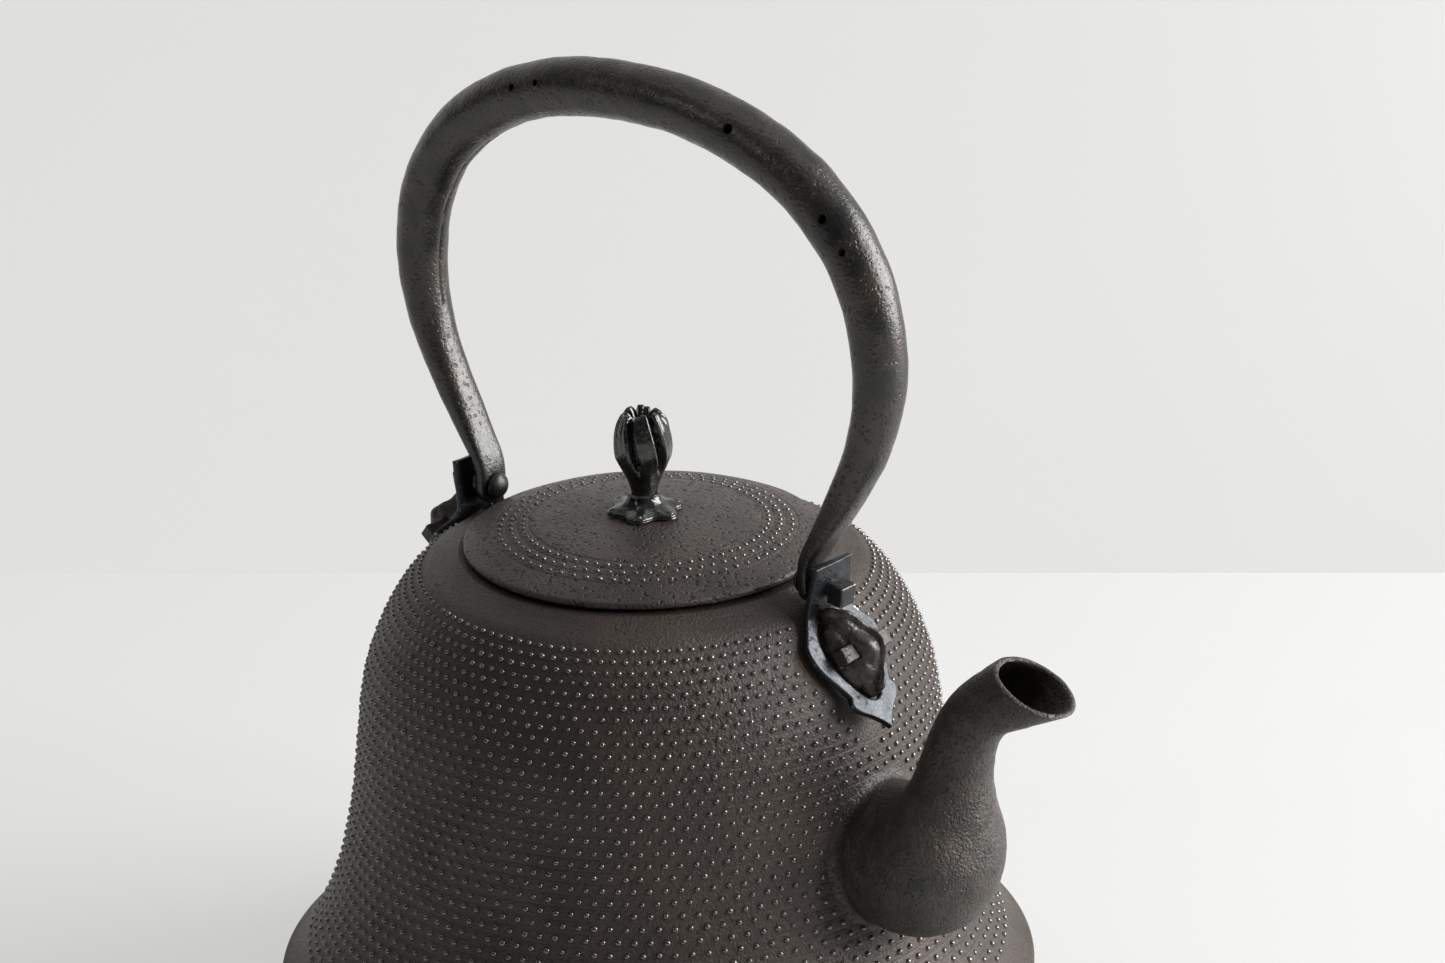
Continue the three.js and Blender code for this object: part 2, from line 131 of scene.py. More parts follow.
def lumps(points, size, seed):
    """Smooth noise from -1 to 1 at each point, with lumps of this size."""
    shift = Vector((seed * 3.1, seed * 1.7, seed * 2.3))
    return np.array([noise.noise(Vector(p) / size + shift) for p in points])


# ---------------------------------------------------------------- pieces
def new_object(name, corners, faces):
    """A mesh object from corners in millimetres."""
    mesh = bpy.data.meshes.new(name)
    mesh.from_pydata((np.asarray(corners) * MM).tolist(), [], faces)
    mesh.update()
    made = bpy.data.objects.new(name, mesh)
    bpy.context.scene.collection.objects.link(made)
    return made


def face_out(made, weld=0.0):
    """Turns the faces outward, after welding corners that are closer than weld."""
    shape = bmesh.new()
    shape.from_mesh(made.data)
    if weld:
        bmesh.ops.remove_doubles(shape, verts=shape.verts, dist=weld * MM)
    bmesh.ops.recalc_face_normals(shape, faces=shape.faces)
    shape.to_mesh(made.data)
    shape.free()


def baked(made, modifiers):
    """Replaces the object's mesh by what its modifiers make of it."""
    graph = bpy.context.evaluated_depsgraph_get()
    mesh = bpy.data.meshes.new_from_object(made.evaluated_get(graph))
    for modifier in modifiers:
        made.modifiers.remove(modifier)
    made.data = mesh


def cut(made, cutter_parts):
    """Cuts the (corners, faces) solids out of the object."""
    cutter = new_object("cutter", *joined(cutter_parts))
    face_out(cutter)
    modifier = made.modifiers.new("cut", "BOOLEAN")
    modifier.operation = "DIFFERENCE"
    modifier.solver = "EXACT"
    modifier.object = cutter
    baked(made, [modifier])
    bpy.data.objects.remove(cutter)


def melted(made, voxel, smoothing):
    """Fuses overlapping solids into one softly rounded skin of cells of this size."""
    remesh = made.modifiers.new("remesh", "REMESH")
    remesh.mode = "VOXEL"
    remesh.voxel_size = voxel * MM
    soften = made.modifiers.new("soften", "SMOOTH")
    soften.iterations = smoothing
    baked(made, [remesh, soften])


def finished(made, body, material, replaces=(), crease=38):
    """Gives the piece its material and shading and hands it to a body of the frame."""
    for polygon in made.data.polygons:
        polygon.use_smooth = True
    made.data.set_sharp_from_angle(angle=math.radians(crease))
    made.data.materials.clear()
    made.data.materials.append(material)
    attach(made, body)
    if replaces:
        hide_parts(*replaces)


def points_of(made):
    co = np.zeros(len(made.data.vertices) * 3)
    made.data.vertices.foreach_get("co", co)
    return co.reshape(-1, 3) / MM


def set_points(made, points):
    made.data.vertices.foreach_set("co", (points * MM).ravel())
    made.data.update()


def normals_of(made):
    out = np.zeros(len(made.data.vertices) * 3)
    made.data.vertices.foreach_get("normal", out)
    return out.reshape(-1, 3)


def roughen(made, size, depth, seed):
    """Moves the skin in and out by up to depth, in lumps of this size."""
    points = points_of(made)
    offset = lumps(points, size, seed) * depth
    set_points(made, points + normals_of(made) * offset[:, None])


def bar(start, end, radius, sides=32):
    """A round bar between two points."""
    start, end = np.array(start, float), np.array(end, float)
    along = unit(end - start)
    side = unit(np.cross(along, [0.3, 0.9, 0.2]))
    other = np.cross(along, side)
    a = angles(sides)
    ring = (np.cos(a)[:, None] * side + np.sin(a)[:, None] * other) * radius
    return skin(np.array([start + ring, end + ring]))


def box_solid(size, centre, turn):
    """A plain box, for cutting."""
    corners = np.array([[x, y, z] for x in (-1, 1) for y in (-1, 1) for z in (-1, 1)])
    corners = corners * np.array(size) / 2 @ np.array(turn.to_matrix()).T + centre
    faces = [[0, 1, 3, 2], [4, 6, 7, 5], [0, 4, 5, 1], [2, 3, 7, 6], [0, 2, 6, 4], [1, 5, 7, 3]]
    return corners, faces


def rounded_block(size, radius, centre, turn, cells):
    """A block with rounded edges and corners."""
    half = np.array(size) / 2
    inner = half - radius
    line = np.linspace(-1, 1, cells + 1)
    line = np.sign(line) * np.abs(line) ** 0.6
    parts = []
    for axis in range(3):
        for side in (-1, 1):
            u, v = np.meshgrid(line, line, indexing="ij")
            cube = np.zeros((cells + 1, cells + 1, 3))
            cube[..., axis] = side
            cube[..., (axis + 1) % 3] = u
            cube[..., (axis + 2) % 3] = v
            flat = (cube * half).reshape(-1, 3)
            core = np.clip(flat, -inner, inner)
            flat = core + unit(flat - core) * radius
            k = np.arange((cells + 1) ** 2).reshape(cells + 1, -1)
            quads = np.stack([k[:-1, :-1], k[1:, :-1], k[1:, 1:], k[:-1, 1:]], -1).reshape(-1, 4)
            parts.append((flat, quads.tolist()))
    corners, faces = joined(parts)
    return corners @ np.array(turn.to_matrix()).T + centre, faces


def turn_to_end(made, side):
    """Leaves the piece at the front, where it was drawn, or turns it half round for the back."""
    set_points(made, points_of(made) * np.array([side, side, 1]))
    face_out(made)


# ---------------------------------------------------------------- materials
def add_node(tree, kind, inputs=None, **settings):
    made = tree.nodes.new(kind)
    for key, value in settings.items():
        setattr(made, key, value)
    for key, value in (inputs or {}).items():
        socket = made.inputs[key]
        if isinstance(value, bpy.types.NodeSocket):
            tree.links.new(value, socket)
        else:
            socket.default_value = value
    return made


def noise_at(tree, coords, size, detail, distortion=0.0):
    """Noise whose lumps are this many millimetres."""
    inputs = {"Vector": coords, "Scale": 1 / (size * MM), "Detail": detail}
    inputs["Distortion"] = distortion
    return add_node(tree, "ShaderNodeTexNoise", inputs).outputs[0]


def spread(tree, value, low, high, to_low, to_high):
    inputs = {"Value": value, "From Min": low, "From Max": high}
    inputs |= {"To Min": to_low, "To Max": to_high}
    return add_node(tree, "ShaderNodeMapRange", inputs).outputs[0]


def mixed(tree, share, first, second):
    made = add_node(tree, "ShaderNodeMix", data_type="RGBA")
    for index, value in ((0, share), (6, first), (7, second)):
        socket = made.inputs[index]
        if isinstance(value, bpy.types.NodeSocket):
            tree.links.new(value, socket)
        else:
            socket.default_value = value if index == 0 else (*value, 1)
    return made.outputs[2]


def times(tree, first, second):
    made = add_node(tree, "ShaderNodeMath", {0: first, 1: second}, operation="MULTIPLY")
    return made.outputs[0]


def metal_skin(
    name,
    tones,
    patch,
    roughness,
    metallic,
    grain,
    pits,
    pit_tone,
    edge_wear_and_highlight=None,
    specular=0.5,
    ior=1.5,
):
    """A metal surface: two tones in patches, fine grain, scattered pits, and high edges painted
    lighter, partly as wear and partly as a painted highlight.
    patch is the size of the tone patches, grain is (size, depth), pits are (size, depth, share),
    and edge_wear_and_highlight is (the lighter edge tone, partly wear and partly painted highlight,
    how sharp an edge has to be, roughness there)."""
    material = bpy.data.materials.new(name)
    material.use_nodes = True
    tree = material.node_tree
    shader = tree.nodes["Principled BSDF"]
    coords = add_node(tree, "ShaderNodeTexCoord").outputs["Object"]

    patches = spread(tree, noise_at(tree, coords, patch, 5.0, 0.4), 0.36, 0.64, 0.0, 1.0)
    fine = noise_at(tree, coords, grain[0], 4.0)
    speckle = spread(tree, fine, 0.3, 0.7, 0.0, 1.0)
    colour = mixed(tree, patches, tones[0], tones[1])
    colour = mixed(tree, times(tree, speckle, 0.35), colour, [t * 0.55 for t in tones[0]])

    size, depth, share = pits
    warp = add_node(
        tree,
        "ShaderNodeTexNoise",
        {"Vector": coords, "Scale": 1 / (0.7 * size * MM), "Detail": 2.0},
    ).outputs[1]
    shifted = add_node(
        tree,
        "ShaderNodeVectorMath",
        {0: warp, 1: (size * MM * 0.9,) * 3, 2: coords},
        operation="MULTIPLY_ADD",
    ).outputs[0]
    cells = add_node(tree, "ShaderNodeTexVoronoi", {"Vector": shifted, "Scale": 1 / (size * MM)})
    pit = spread(tree, cells.outputs["Distance"], 0.16, 0.36, 1.0, 0.0)
    fewest = 0.62 - share * 0.4
    where = noise_at(tree, coords, size * 5, 2.0)
    where = spread(tree, where, fewest, fewest + 0.1, 0.0, 1.0)
    pit = times(tree, pit, where)
    colour = mixed(tree, times(tree, pit, 0.75), colour, pit_tone)

    rough = spread(tree, fine, 0.3, 0.7, *roughness)
    rough = add_node(tree, "ShaderNodeMath", {0: times(tree, pit, 0.2), 1: rough}, operation="ADD")
    rough = rough.outputs[0]
    # Sharp high edges get a lighter tone and a lower roughness: partly wear, partly a painted
    # highlight where the edges catch the light.
    if edge_wear_and_highlight:
        tone, sharp, polish = edge_wear_and_highlight
        point = add_node(tree, "ShaderNodeNewGeometry").outputs["Pointiness"]
        rim = spread(tree, point, 0.5 + sharp * 0.4, 0.5 + sharp, 0.0, 1.0)
        rim = times(tree, rim, spread(tree, noise_at(tree, coords, 3.0, 3.0), 0.35, 0.6, 0.2, 1.0))
        colour = mixed(tree, rim, colour, tone)
        rough = add_node(
            tree, "ShaderNodeMix", {0: rim, 2: rough, 3: polish}, data_type="FLOAT"
        ).outputs[0]

    bump = add_node(
        tree,
        "ShaderNodeBump",
        {"Height": fine, "Distance": grain[1] * MM, "Strength": 1.0},
    ).outputs[0]
    bump = add_node(
        tree,
        "ShaderNodeBump",
        {"Height": spread(tree, pit, 0.0, 1.0, 1.0, 0.0), "Distance": depth * MM, "Normal": bump},
    ).outputs[0]

    shader.inputs["Specular IOR Level"].default_value = specular
    shader.inputs["IOR"].default_value = ior
    shader.inputs["Metallic"].default_value = metallic
    tree.links.new(colour, shader.inputs["Base Color"])
    tree.links.new(rough, shader.inputs["Roughness"])
    tree.links.new(bump, shader.inputs["Normal"])
    return material


BODY_IRON = metal_skin(
    "body_iron",
    tones=((0.034, 0.026, 0.0215), (0.056, 0.042, 0.034)),
    patch=24,
    roughness=(0.4, 0.58),
    metallic=0.1,
    grain=(0.7, 0.42),
    pits=(1.6, 0.1, 0.25),
    pit_tone=(0.016, 0.012, 0.010),
    specular=0.36,
)
DOT_IRON = metal_skin(
    "dot_iron",
    tones=((0.040, 0.030, 0.025), (0.062, 0.047, 0.039)),
    patch=20,
    roughness=(0.14, 0.24),
    metallic=0.3,
    grain=(0.5, 0.02),
    pits=(1.6, 0.05, 0.1),
    pit_tone=(0.02, 0.015, 0.012),
    specular=0.75,
    ior=1.9,
)
LID_IRON = metal_skin(
    "lid_iron",
    tones=((0.032, 0.026, 0.022), (0.054, 0.041, 0.034)),
    patch=14,
    roughness=(0.3, 0.5),
    metallic=0.1,
    grain=(0.8, 0.4),
    pits=(1.9, 0.45, 1.0),
    pit_tone=(0.008, 0.007, 0.006),
    # lighter rim tone on the lid: partly wear, partly a painted highlight along its rims
    edge_wear_and_highlight=((0.2, 0.19, 0.18), 0.1, 0.28),
    specular=0.42,
)
SPOUT_IRON = metal_skin(
    "spout_iron",
    tones=((0.022, 0.022, 0.018), (0.056, 0.041, 0.033)),
    patch=4.5,
    roughness=(0.32, 0.5),
    metallic=0.15,
    grain=(0.75, 0.5),
    pits=(1.2, 0.16, 0.65),
    pit_tone=(0.009, 0.009, 0.008),
    specular=0.5,
)
LUG_IRON = metal_skin(
    "lug_iron",
    tones=((0.024, 0.021, 0.019), (0.050, 0.041, 0.035)),
    patch=4,
    roughness=(0.26, 0.42),
    metallic=0.2,
    grain=(0.7, 0.2),
    pits=(1.4, 0.08, 0.4),
    pit_tone=(0.010, 0.009, 0.008),
    # lighter crest tone on the lug: partly wear, partly a painted highlight along its crest
    edge_wear_and_highlight=((0.2, 0.19, 0.18), 0.07, 0.22),
)
HANDLE_IRON = metal_skin(
    "handle_iron",
    tones=((0.012, 0.0135, 0.012), (0.040, 0.029, 0.023)),
    patch=8,
    roughness=(0.24, 0.38),
    metallic=0.2,
    grain=(0.8, 0.16),
    pits=(1.6, 0.1, 0.5),
    pit_tone=(0.007, 0.007, 0.006),
    specular=0.55,
    ior=1.55,
)
BRACKET_STEEL = metal_skin(
    "bracket_steel",
    tones=((0.017, 0.020, 0.023), (0.040, 0.043, 0.046)),
    patch=6,
    roughness=(0.24, 0.4),
    metallic=0.7,
    grain=(0.8, 0.08),
    pits=(1.5, 0.08, 0.4),
    pit_tone=(0.015, 0.015, 0.015),
    # lighter plate edges: partly wear, partly a painted highlight on the edges
    edge_wear_and_highlight=((0.34, 0.35, 0.36), 0.1, 0.2),
)
STUD_STEEL = metal_skin(
    "stud_steel",
    tones=((0.022, 0.023, 0.023), (0.04, 0.04, 0.038)),
    patch=5,
    roughness=(0.3, 0.45),
    metallic=0.7,
    grain=(0.7, 0.06),
    pits=(1.5, 0.06, 0.3),
    pit_tone=(0.012, 0.012, 0.012),
    # lighter head edges: partly wear, partly a painted highlight on the edges
    edge_wear_and_highlight=((0.22, 0.22, 0.22), 0.07, 0.3),
)
BROWN_PIN = metal_skin(
    "brown_pin",
    tones=((0.028, 0.023, 0.020), (0.056, 0.043, 0.036)),
    patch=4,
    roughness=(0.42, 0.6),
    metallic=0.25,
    grain=(0.5, 0.06),
    pits=(1.2, 0.08, 0.5),
    pit_tone=(0.02, 0.016, 0.013),
    # lighter pin edges: partly wear, partly a painted highlight on the edges
    edge_wear_and_highlight=((0.15, 0.12, 0.10), 0.07, 0.4),
)
KNOB_METAL = metal_skin(
    "knob_metal",
    tones=((0.006, 0.007, 0.006), (0.016, 0.014, 0.013)),
    patch=5,
    roughness=(0.1, 0.2),
    metallic=0.1,
    grain=(1.2, 0.16),
    pits=(1.3, 0.06, 0.2),
    pit_tone=(0.005, 0.005, 0.005),
    # lighter petal edges: partly wear, partly a painted highlight on the edges
    edge_wear_and_highlight=((0.10, 0.09, 0.085), 0.08, 0.15),
    specular=0.6,
    ior=1.6,
)
BASKET_STEEL = metal_skin(
    "basket_steel",
    tones=((0.52, 0.53, 0.54), (0.6, 0.6, 0.6)),
    patch=15,
    roughness=(0.2, 0.34),
    metallic=1.0,
    grain=(0.6, 0.01),
    pits=(1.5, 0.01, 0.1),
    pit_tone=(0.4, 0.4, 0.4),
)


# ---------------------------------------------------------------- kettle body
# The bell's outer line from the neck down to the flange, as [radius, height].
NECK_RADIUS = 47.6
BELL = [
    [NECK_RADIUS, 132.35],
    [52.2, 130.5],
    [56.4, 128.4],
    [61.9, 122.8],
    [67.6, 113.5],
    [72.4, 101],
    [74.9, 85.5],
    [77.1, 69],
    [80.6, 52.5],
    [84.9, 39],
    [89.2, 30],
    [93.5, 22.6],
]
WALL = 3.0
bell = through(BELL, 24)
bell_run = run_along(bell)
bell_down = unit(np.gradient(bell, axis=0))
bell_out = np.stack([-bell_down[:, 1], bell_down[:, 0]], axis=1)

FIRST_ROW_RADIUS = 57.5
LAST_ROW_RADIUS = 92.0
ROW_PITCH = (2.75, 3.5)  # at the shoulder and at the flange
DOTS_IN_ROW = 126
GROOVE = {"depth": 0.14, "half": 0.28}


def bell_point(runs):
    """Points and outward directions of the bell line at these distances down from the neck."""
    points = np.stack([np.interp(runs, bell_run, c) for c in bell.T], axis=1)
    out = np.stack([np.interp(runs, bell_run, c) for c in bell_out.T], axis=1)
    return points, unit(out)


def bell_radius(z):
    return np.interp(z, bell[::-1, 1], bell[::-1, 0])


def dot_rows():
    """How far down the bell line each row of dots is."""
    run = np.interp(FIRST_ROW_RADIUS, bell[:, 0], bell_run)
    last = np.interp(LAST_ROW_RADIUS, bell[:, 0], bell_run)
    length = last - run
    rows = []
    while run < last:
        rows.append(run)
        run += np.interp(1 - (last - run) / length, [0, 1], ROW_PITCH)
    return np.array(rows)


def bell_with_grooves():
    """The bell line with a fine groove between each two rows of dots, deeper further down."""
    rows = dot_rows()
    runs = list(np.linspace(0, rows[0], 14)[:-1])
    dips = [0.0] * len(runs)
    for i, (a, b) in enumerate(zip(rows[:-1], rows[1:])):
        depth = GROOVE["depth"] * np.interp(i / len(rows), [0, 0.5], [0.35, 1])
        middle, half = (a + b) / 2, GROOVE["half"]
        runs += [a, a * 0.7 + b * 0.3, middle - half, middle, middle + half, a * 0.3 + b * 0.7]
        dips += [0, 0, 0, depth, 0, 0]
    runs += list(np.linspace(rows[-1], bell_run[-1], 6))
    dips += [0.0] * 6
    points, out = bell_point(np.array(runs))
    return points - out * np.array(dips)[:, None]


def body_profile():
    flange = FLANGE_RADIUS
    edge = [[flange - 2.6, 19.5], [flange - 0.8, 18], [flange - 0.15, 17.6], [flange, 17.1]]
    edge += [[flange, 16.3], [flange - 0.3, 15.5], [flange - 1, 15.1]]
    under = through([[flange - 2.5, 15], [87, 14.5], [80, 9], [70, 3.2], [59.5, 0.25]], 6)
    foot = [[58, 0], [30, 0], [2, 0]]
    floor = [[2, WALL + 0.2], [30, WALL + 0.2], [57, WALL + 0.2]]
    inside = through([[57.5, 3.4], [70, 6.6], [79.5, 13.5], [84, 24], [82.8, 33]], 6)
    inner, out = bell_point(np.linspace(bell_run[-1] - 16, 9, 60))
    inner = inner - out * WALL
    throat = [[40.4, 126.5], [40.4, LEDGE_Z - 0.3], [40.7, LEDGE_Z], [43.4, LEDGE_Z]]
    top = NECK_Z - 0.6
    throat += [[43.6, LEDGE_Z + 0.2], [43.6, top - 0.2], [43.8, top], [47.2, top], [47.45, top + 0.03]]
    parts = [bell_with_grooves(), edge, under, foot, floor, inside, inner, throat]
    line = np.concatenate([np.asarray(p, float) for p in parts])
    start = int(np.argmin(np.abs(line[:, 0] - 2) + line[:, 1])) + 1
    return np.roll(line, -start, axis=0)


BODY_SIDES = 240
SPOUT_HOLE = {"z": 71.5, "radius": 11}


def kettle_body():
    made = new_object("kettle_body", *skin(turned(body_profile(), BODY_SIDES)))
    face_out(made)
    hole = bar([62, 0, SPOUT_HOLE["z"]], [84, 0, SPOUT_HOLE["z"]], SPOUT_HOLE["radius"], 48)
    cut(made, [hole])
    points = points_of(made)
    sway = lumps(points, 30, 2.0) * 0.16 + lumps(points, 9, 5.0) * 0.06 - 0.1
    near_edge = np.clip((FLANGE_RADIUS - np.hypot(points[:, 0], points[:, 1])) / 4, 0, 1)
    free = (points[:, 2] > 16) & (points[:, 2] < 131.5)
    set_points(made, points + normals_of(made) * (sway * near_edge * free)[:, None])
    finished(made, "kettle", BODY_IRON, ["body_shell"], crease=50)


# ---------------------------------------------------------------- raised dots
def domes(places, outs, radii, heights):
    """Small closed domes at the places, each sunk a little into the surface under it."""
    sides = 8
    rings = [(1.0, -0.45), (0.97, 0.15), (0.66, 0.72)]
    a = angles(sides)
    along = unit(np.cross(outs, [0.0, 0.0, 1.0]))
    across = np.cross(outs, along)
    n = len(places)
    corners = np.zeros((n, sides * len(rings) + 1, 3))
    for k, (wide, high) in enumerate(rings):
        circle = along[:, None] * np.cos(a)[:, None] + across[:, None] * np.sin(a)[:, None]
        lift = outs * (heights * high)[:, None]
        corners[:, k * sides : (k + 1) * sides] = (
            (places + lift)[:, None] + circle * (radii * wide)[:, None, None]
        )
    corners[:, -1] = places + outs * heights[:, None]
    one = [list(range(sides))[::-1]]
    for k in range(len(rings) - 1):
        for j in range(sides):
            i, on = k * sides + j, k * sides + (j + 1) % sides
            one.append([i, on, on + sides, i + sides])
    top = (len(rings) - 1) * sides
    one += [[top + j, top + (j + 1) % sides, sides * len(rings)] for j in range(sides)]
    count = corners.shape[1]
    faces = [[k + count * m for k in face] for m in range(n) for face in one]
    return corners.reshape(-1, 3), faces


def row_of_dots(point, out, count, shift, jitter):
    """Places and outward directions of one row round the axis."""
    a = 2 * np.pi * (np.arange(count) + shift) / count
    a = a + RANDOM.normal(0, jitter / point[0], count)
    places = around(point[0], a, point[1])
    places[:, 2] += RANDOM.normal(0, jitter, count) * abs(out[0])
    return places, around(out[0], a, out[1])


# Half width without dots, this far down the slope from the bracket's bend: [down, half width].
BARE_BY_BRACKET = [
    [0, 9],
    [7, 14.5],
    [13, 14],
    [17, 12],
    [22, 10],
    [27, 9],
    [34, 3],
    [37, 5],
    [42, 0],
]


def bare(places):
    """Where the body carries no dots: round the spout's root and under and below the brackets."""
    x, y, z = places.T
    near_spout = (x > 0) & (((z - 71) / 20) ** 2 + (y / 20.5) ** 2 < 1)
    down = (BEND_Z - z) / math.sin(LOWER_LEAN)
    half = np.interp(down, *np.transpose(BARE_BY_BRACKET))
    near_bracket = (np.abs(y) < half) & (down > -3)
    return near_spout | near_bracket


DOT = {"radius": 0.8, "height": 0.58}


def hail_dots():
    places, outs = [], []
    runs = dot_rows()
    line, directions = bell_point(runs)
    for i, (point, out) in enumerate(zip(line, directions)):
        spots, ways = row_of_dots(point, out, DOTS_IN_ROW, 0.5 * (i % 2), 0.07)
        keep = ~bare(spots)
        places.append(spots[keep])
        outs.append(ways[keep])
    places, outs = np.concatenate(places), np.concatenate(outs)
    size = RANDOM.normal(1, 0.08, len(places)).clip(0.75, 1.2)
    grow = np.interp(places[:, 2], [25, 125], [1.06, 0.9])
    radii = DOT["radius"] * size * grow
    heights = DOT["height"] * size * RANDOM.normal(1, 0.1, len(places)).clip(0.7, 1.25)
    made = new_object("hail_dots", *domes(places - outs * 0.1, outs, radii, heights + 0.1))
    finished(made, "kettle", DOT_IRON, crease=80)


# ---------------------------------------------------------------- spout
# Side view from inside the wall to the lip: [inner x, inner z, outer x, outer z, half width].
SPOUT_STATIONS = [
    [70, 87, 70, 55.5, 16.4],
    [76, 88, 78, 53.6, 17.6],
    [80.5, 89, 86, 52, 18.3],
    [83.5, 90.2, 94, 53.2, 18.6],
    [85.4, 91.6, 101.5, 57.6, 18.3],
    [86.6, 93, 106.6, 65, 17.2],
    [87.4, 94.6, 108.6, 74.5, 15.2],
    [88.1, 96.4, 107.8, 85, 12.2],
    [88.9, 98.6, 107.1, 95, 9.9],
    [90.3, 102.6, 107.6, 101, 8.9],
    [93, 109.8, 109, 106.4, 8.1],
    [97.3, 117.6, 111.7, 110.6, 7.9],
    [103.6, 124.4, 116.6, 114, 8.2],
    [111, 130.5, 131, 121.5, 8.9],
]
SPOUT_WALL = 1.5  # at the lip
BULB_WALL = 1.3  # how much thicker the bulb's wall is than the lip's
SPOUT_SIDES = 96
ROOT_FILLET = 2.8


def spout_rings(stations, thinner, lift=0.0):
    """Oval sections at the stations, thinner all round and moved out past the lip by lift."""
    s = np.asarray(stations, float)
    inner = np.stack([s[:, 0], 0 * s[:, 0], s[:, 1]], axis=1)
    outer = np.stack([s[:, 2], 0 * s[:, 0], s[:, 3]], axis=1)
    along = unit(outer - inner)
    ahead = np.stack([-along[:, 2], 0 * s[:, 0], along[:, 0]], axis=1)
    centre = (inner + outer) / 2 + ahead * lift
    long = np.linalg.norm(outer - inner, axis=1) / 2 - thinner
    wide = s[:, 4] - thinner
    a = angles(SPOUT_SIDES)
    rings = centre[:, None] + along[:, None] * np.cos(a)[:, None] * long[:, None, None]
    rings[:, :, 1] += np.sin(a) * wide[:, None]
    return rings


def cross_bell(curves, offset):
    """For each lengthwise curve, how far along it leaves the bell moved out by offset."""
    reach = np.hypot(curves[..., 0], curves[..., 1]) - bell_radius(curves[..., 2]) - offset
    leave = []
    for j in range(curves.shape[1]):
        i = int(np.max(np.nonzero(reach[:, j] < 0)[0]))
        leave.append(i + reach[i, j] / (reach[i, j] - reach[i + 1, j]))
    return np.array(leave)


def sample_rows(curves, rows):
    """Points of each lengthwise curve at fractional row numbers, one number per curve."""
    low = np.clip(rows.astype(int), 0, len(curves) - 2)
    part = (rows - low)[:, None]
    j = np.arange(curves.shape[1])
    return curves[low, j] * (1 - part) + curves[low + 1, j] * part


def on_bell(points, offset):
    """The points moved level until they lie this far outside the bell."""
    level = points.copy()
    radius = np.hypot(points[:, 0], points[:, 1])
    factor = (bell_radius(points[:, 2]) + offset) / radius
    level[:, 0] *= factor
    level[:, 1] *= factor
    return level


def spout_casting():
    stations = through(SPOUT_STATIONS, 16)
    last = len(stations) - 1
    outer = spout_rings(stations, 0.0)
    thin = SPOUT_WALL + BULB_WALL * (1 - np.arange(last + 1) / last)
    bore = np.stack([spout_rings(stations[i : i + 1], thin[i])[0] for i in range(last + 1)])

    start = cross_bell(outer, 0.0)
    corner = sample_rows(outer, start)
    fillet_end = []
    for j in range(SPOUT_SIDES):
        along = run_along(outer[:, j])
        here = np.interp(start[j], np.arange(last + 1), along)
        fillet_end.append(np.interp(here + ROOT_FILLET, along, np.arange(last + 1)))
    fillet_end = np.array(fillet_end)
    leave = sample_rows(outer, fillet_end)
    root = corner.mean(axis=0)
    away = unit(corner - root)
    land = on_bell(corner + away * ROOT_FILLET, -0.15)
    sunk = on_bell(corner + away * (ROOT_FILLET + 0.2), -1.6)

    rings = []
    inner_start = cross_bell(bore, -1.6)
    for t in np.linspace(0, 1, 70):
        rings.append(sample_rows(bore, inner_start + (last - inner_start) * t))
    for thinner, lift in ((SPOUT_WALL - 0.3, 0.25), (0.9, 0.4), (0.5, 0.36), (0.18, 0.16)):
        rings.append(spout_rings(stations[-1:], thinner, lift)[0])
    for t in np.linspace(1, 0, 150):
        rings.append(sample_rows(outer, fillet_end + (last - fillet_end) * t))
    for t in np.linspace(0, 1, 12)[1:]:
        rings.append(leave * (1 - t) ** 2 + corner * 2 * t * (1 - t) + land * t**2)
    rings.append(sunk)
    made = new_object("spout_casting", *skin(np.array(rings), wrap=True))
    face_out(made)
    points = points_of(made)
    fade = np.clip((129.6 - points[:, 0]) / 8, 0, 1)
    rough = (lumps(points, 7, 3.0) * 0.22 + lumps(points, 2.6, 8.0) * 0.12) * fade
    set_points(made, points + normals_of(made) * rough[:, None])
    finished(made, "kettle", SPOUT_IRON, ["spout"], crease=70)


# ---------------------------------------------------------------- lugs, brackets and their pins
PLATE = 1.8
UPPER_LEAN = math.radians(10)
LOWER_LEAN = math.radians(51.7)
BEND_X = 57.5
BEND_Z = RIM_Z - 6.2
UPPER_TOP = 14.4
LOWER_TIP = 33.0
LUG_MIDDLE = 12.6
PIN_SIDE = 4.0
PIN_LENGTH = 17.5
PIN_SHIFT = 1.75
STUD_HOLE = 2.5
LOWER_TURN = Quaternion((0, 1, 0), LOWER_LEAN)

lower_down = np.array([math.cos(LOWER_LEAN), 0, -math.sin(LOWER_LEAN)])
lower_out = np.array([math.sin(LOWER_LEAN), 0, math.cos(LOWER_LEAN)])
upper_up = np.array([math.sin(UPPER_LEAN), 0, math.cos(UPPER_LEAN)])
upper_out = np.array([math.cos(UPPER_LEAN), 0, -math.sin(UPPER_LEAN)])


def on_lower_plate(down, lift):
    """A point over the lower plate: how far down from the bend and off its inner face."""
    return np.array([BEND_X, 0, BEND_Z]) + lower_down * down + lower_out * lift


def bezier(a, b, c, steps=8):
    """A quadratic curve without its first point."""
    t = np.linspace(0, 1, steps + 1)[1:, None]
    a, b, c = (np.array(p, float) for p in (a, b, c))
    return list(a * (1 - t) ** 2 + b * 2 * t * (1 - t) + c * t**2)


def bracket_outline():
    """The flat plate's outline as (y, distance down from the bend), right half then mirrored."""
    half = [np.array([6.9, -UPPER_TOP]), np.array([8.0, -0.4])]
    for control, end in (
        ((9.2, 3), (12.4, 6.5)),
        ((13.4, 11), (10.6, 16)),
        ((8, 20.5), (7.4, 22)),
        ((9.6, 24.4), (5.8, 27.2)),
        ((2.4, 29.2), (0, LOWER_TIP)),
    ):
        half += bezier(half[-1], control, end)
    mirrored = [np.array([-y, down]) for y, down in reversed(half[:-1])]
    return half + mirrored


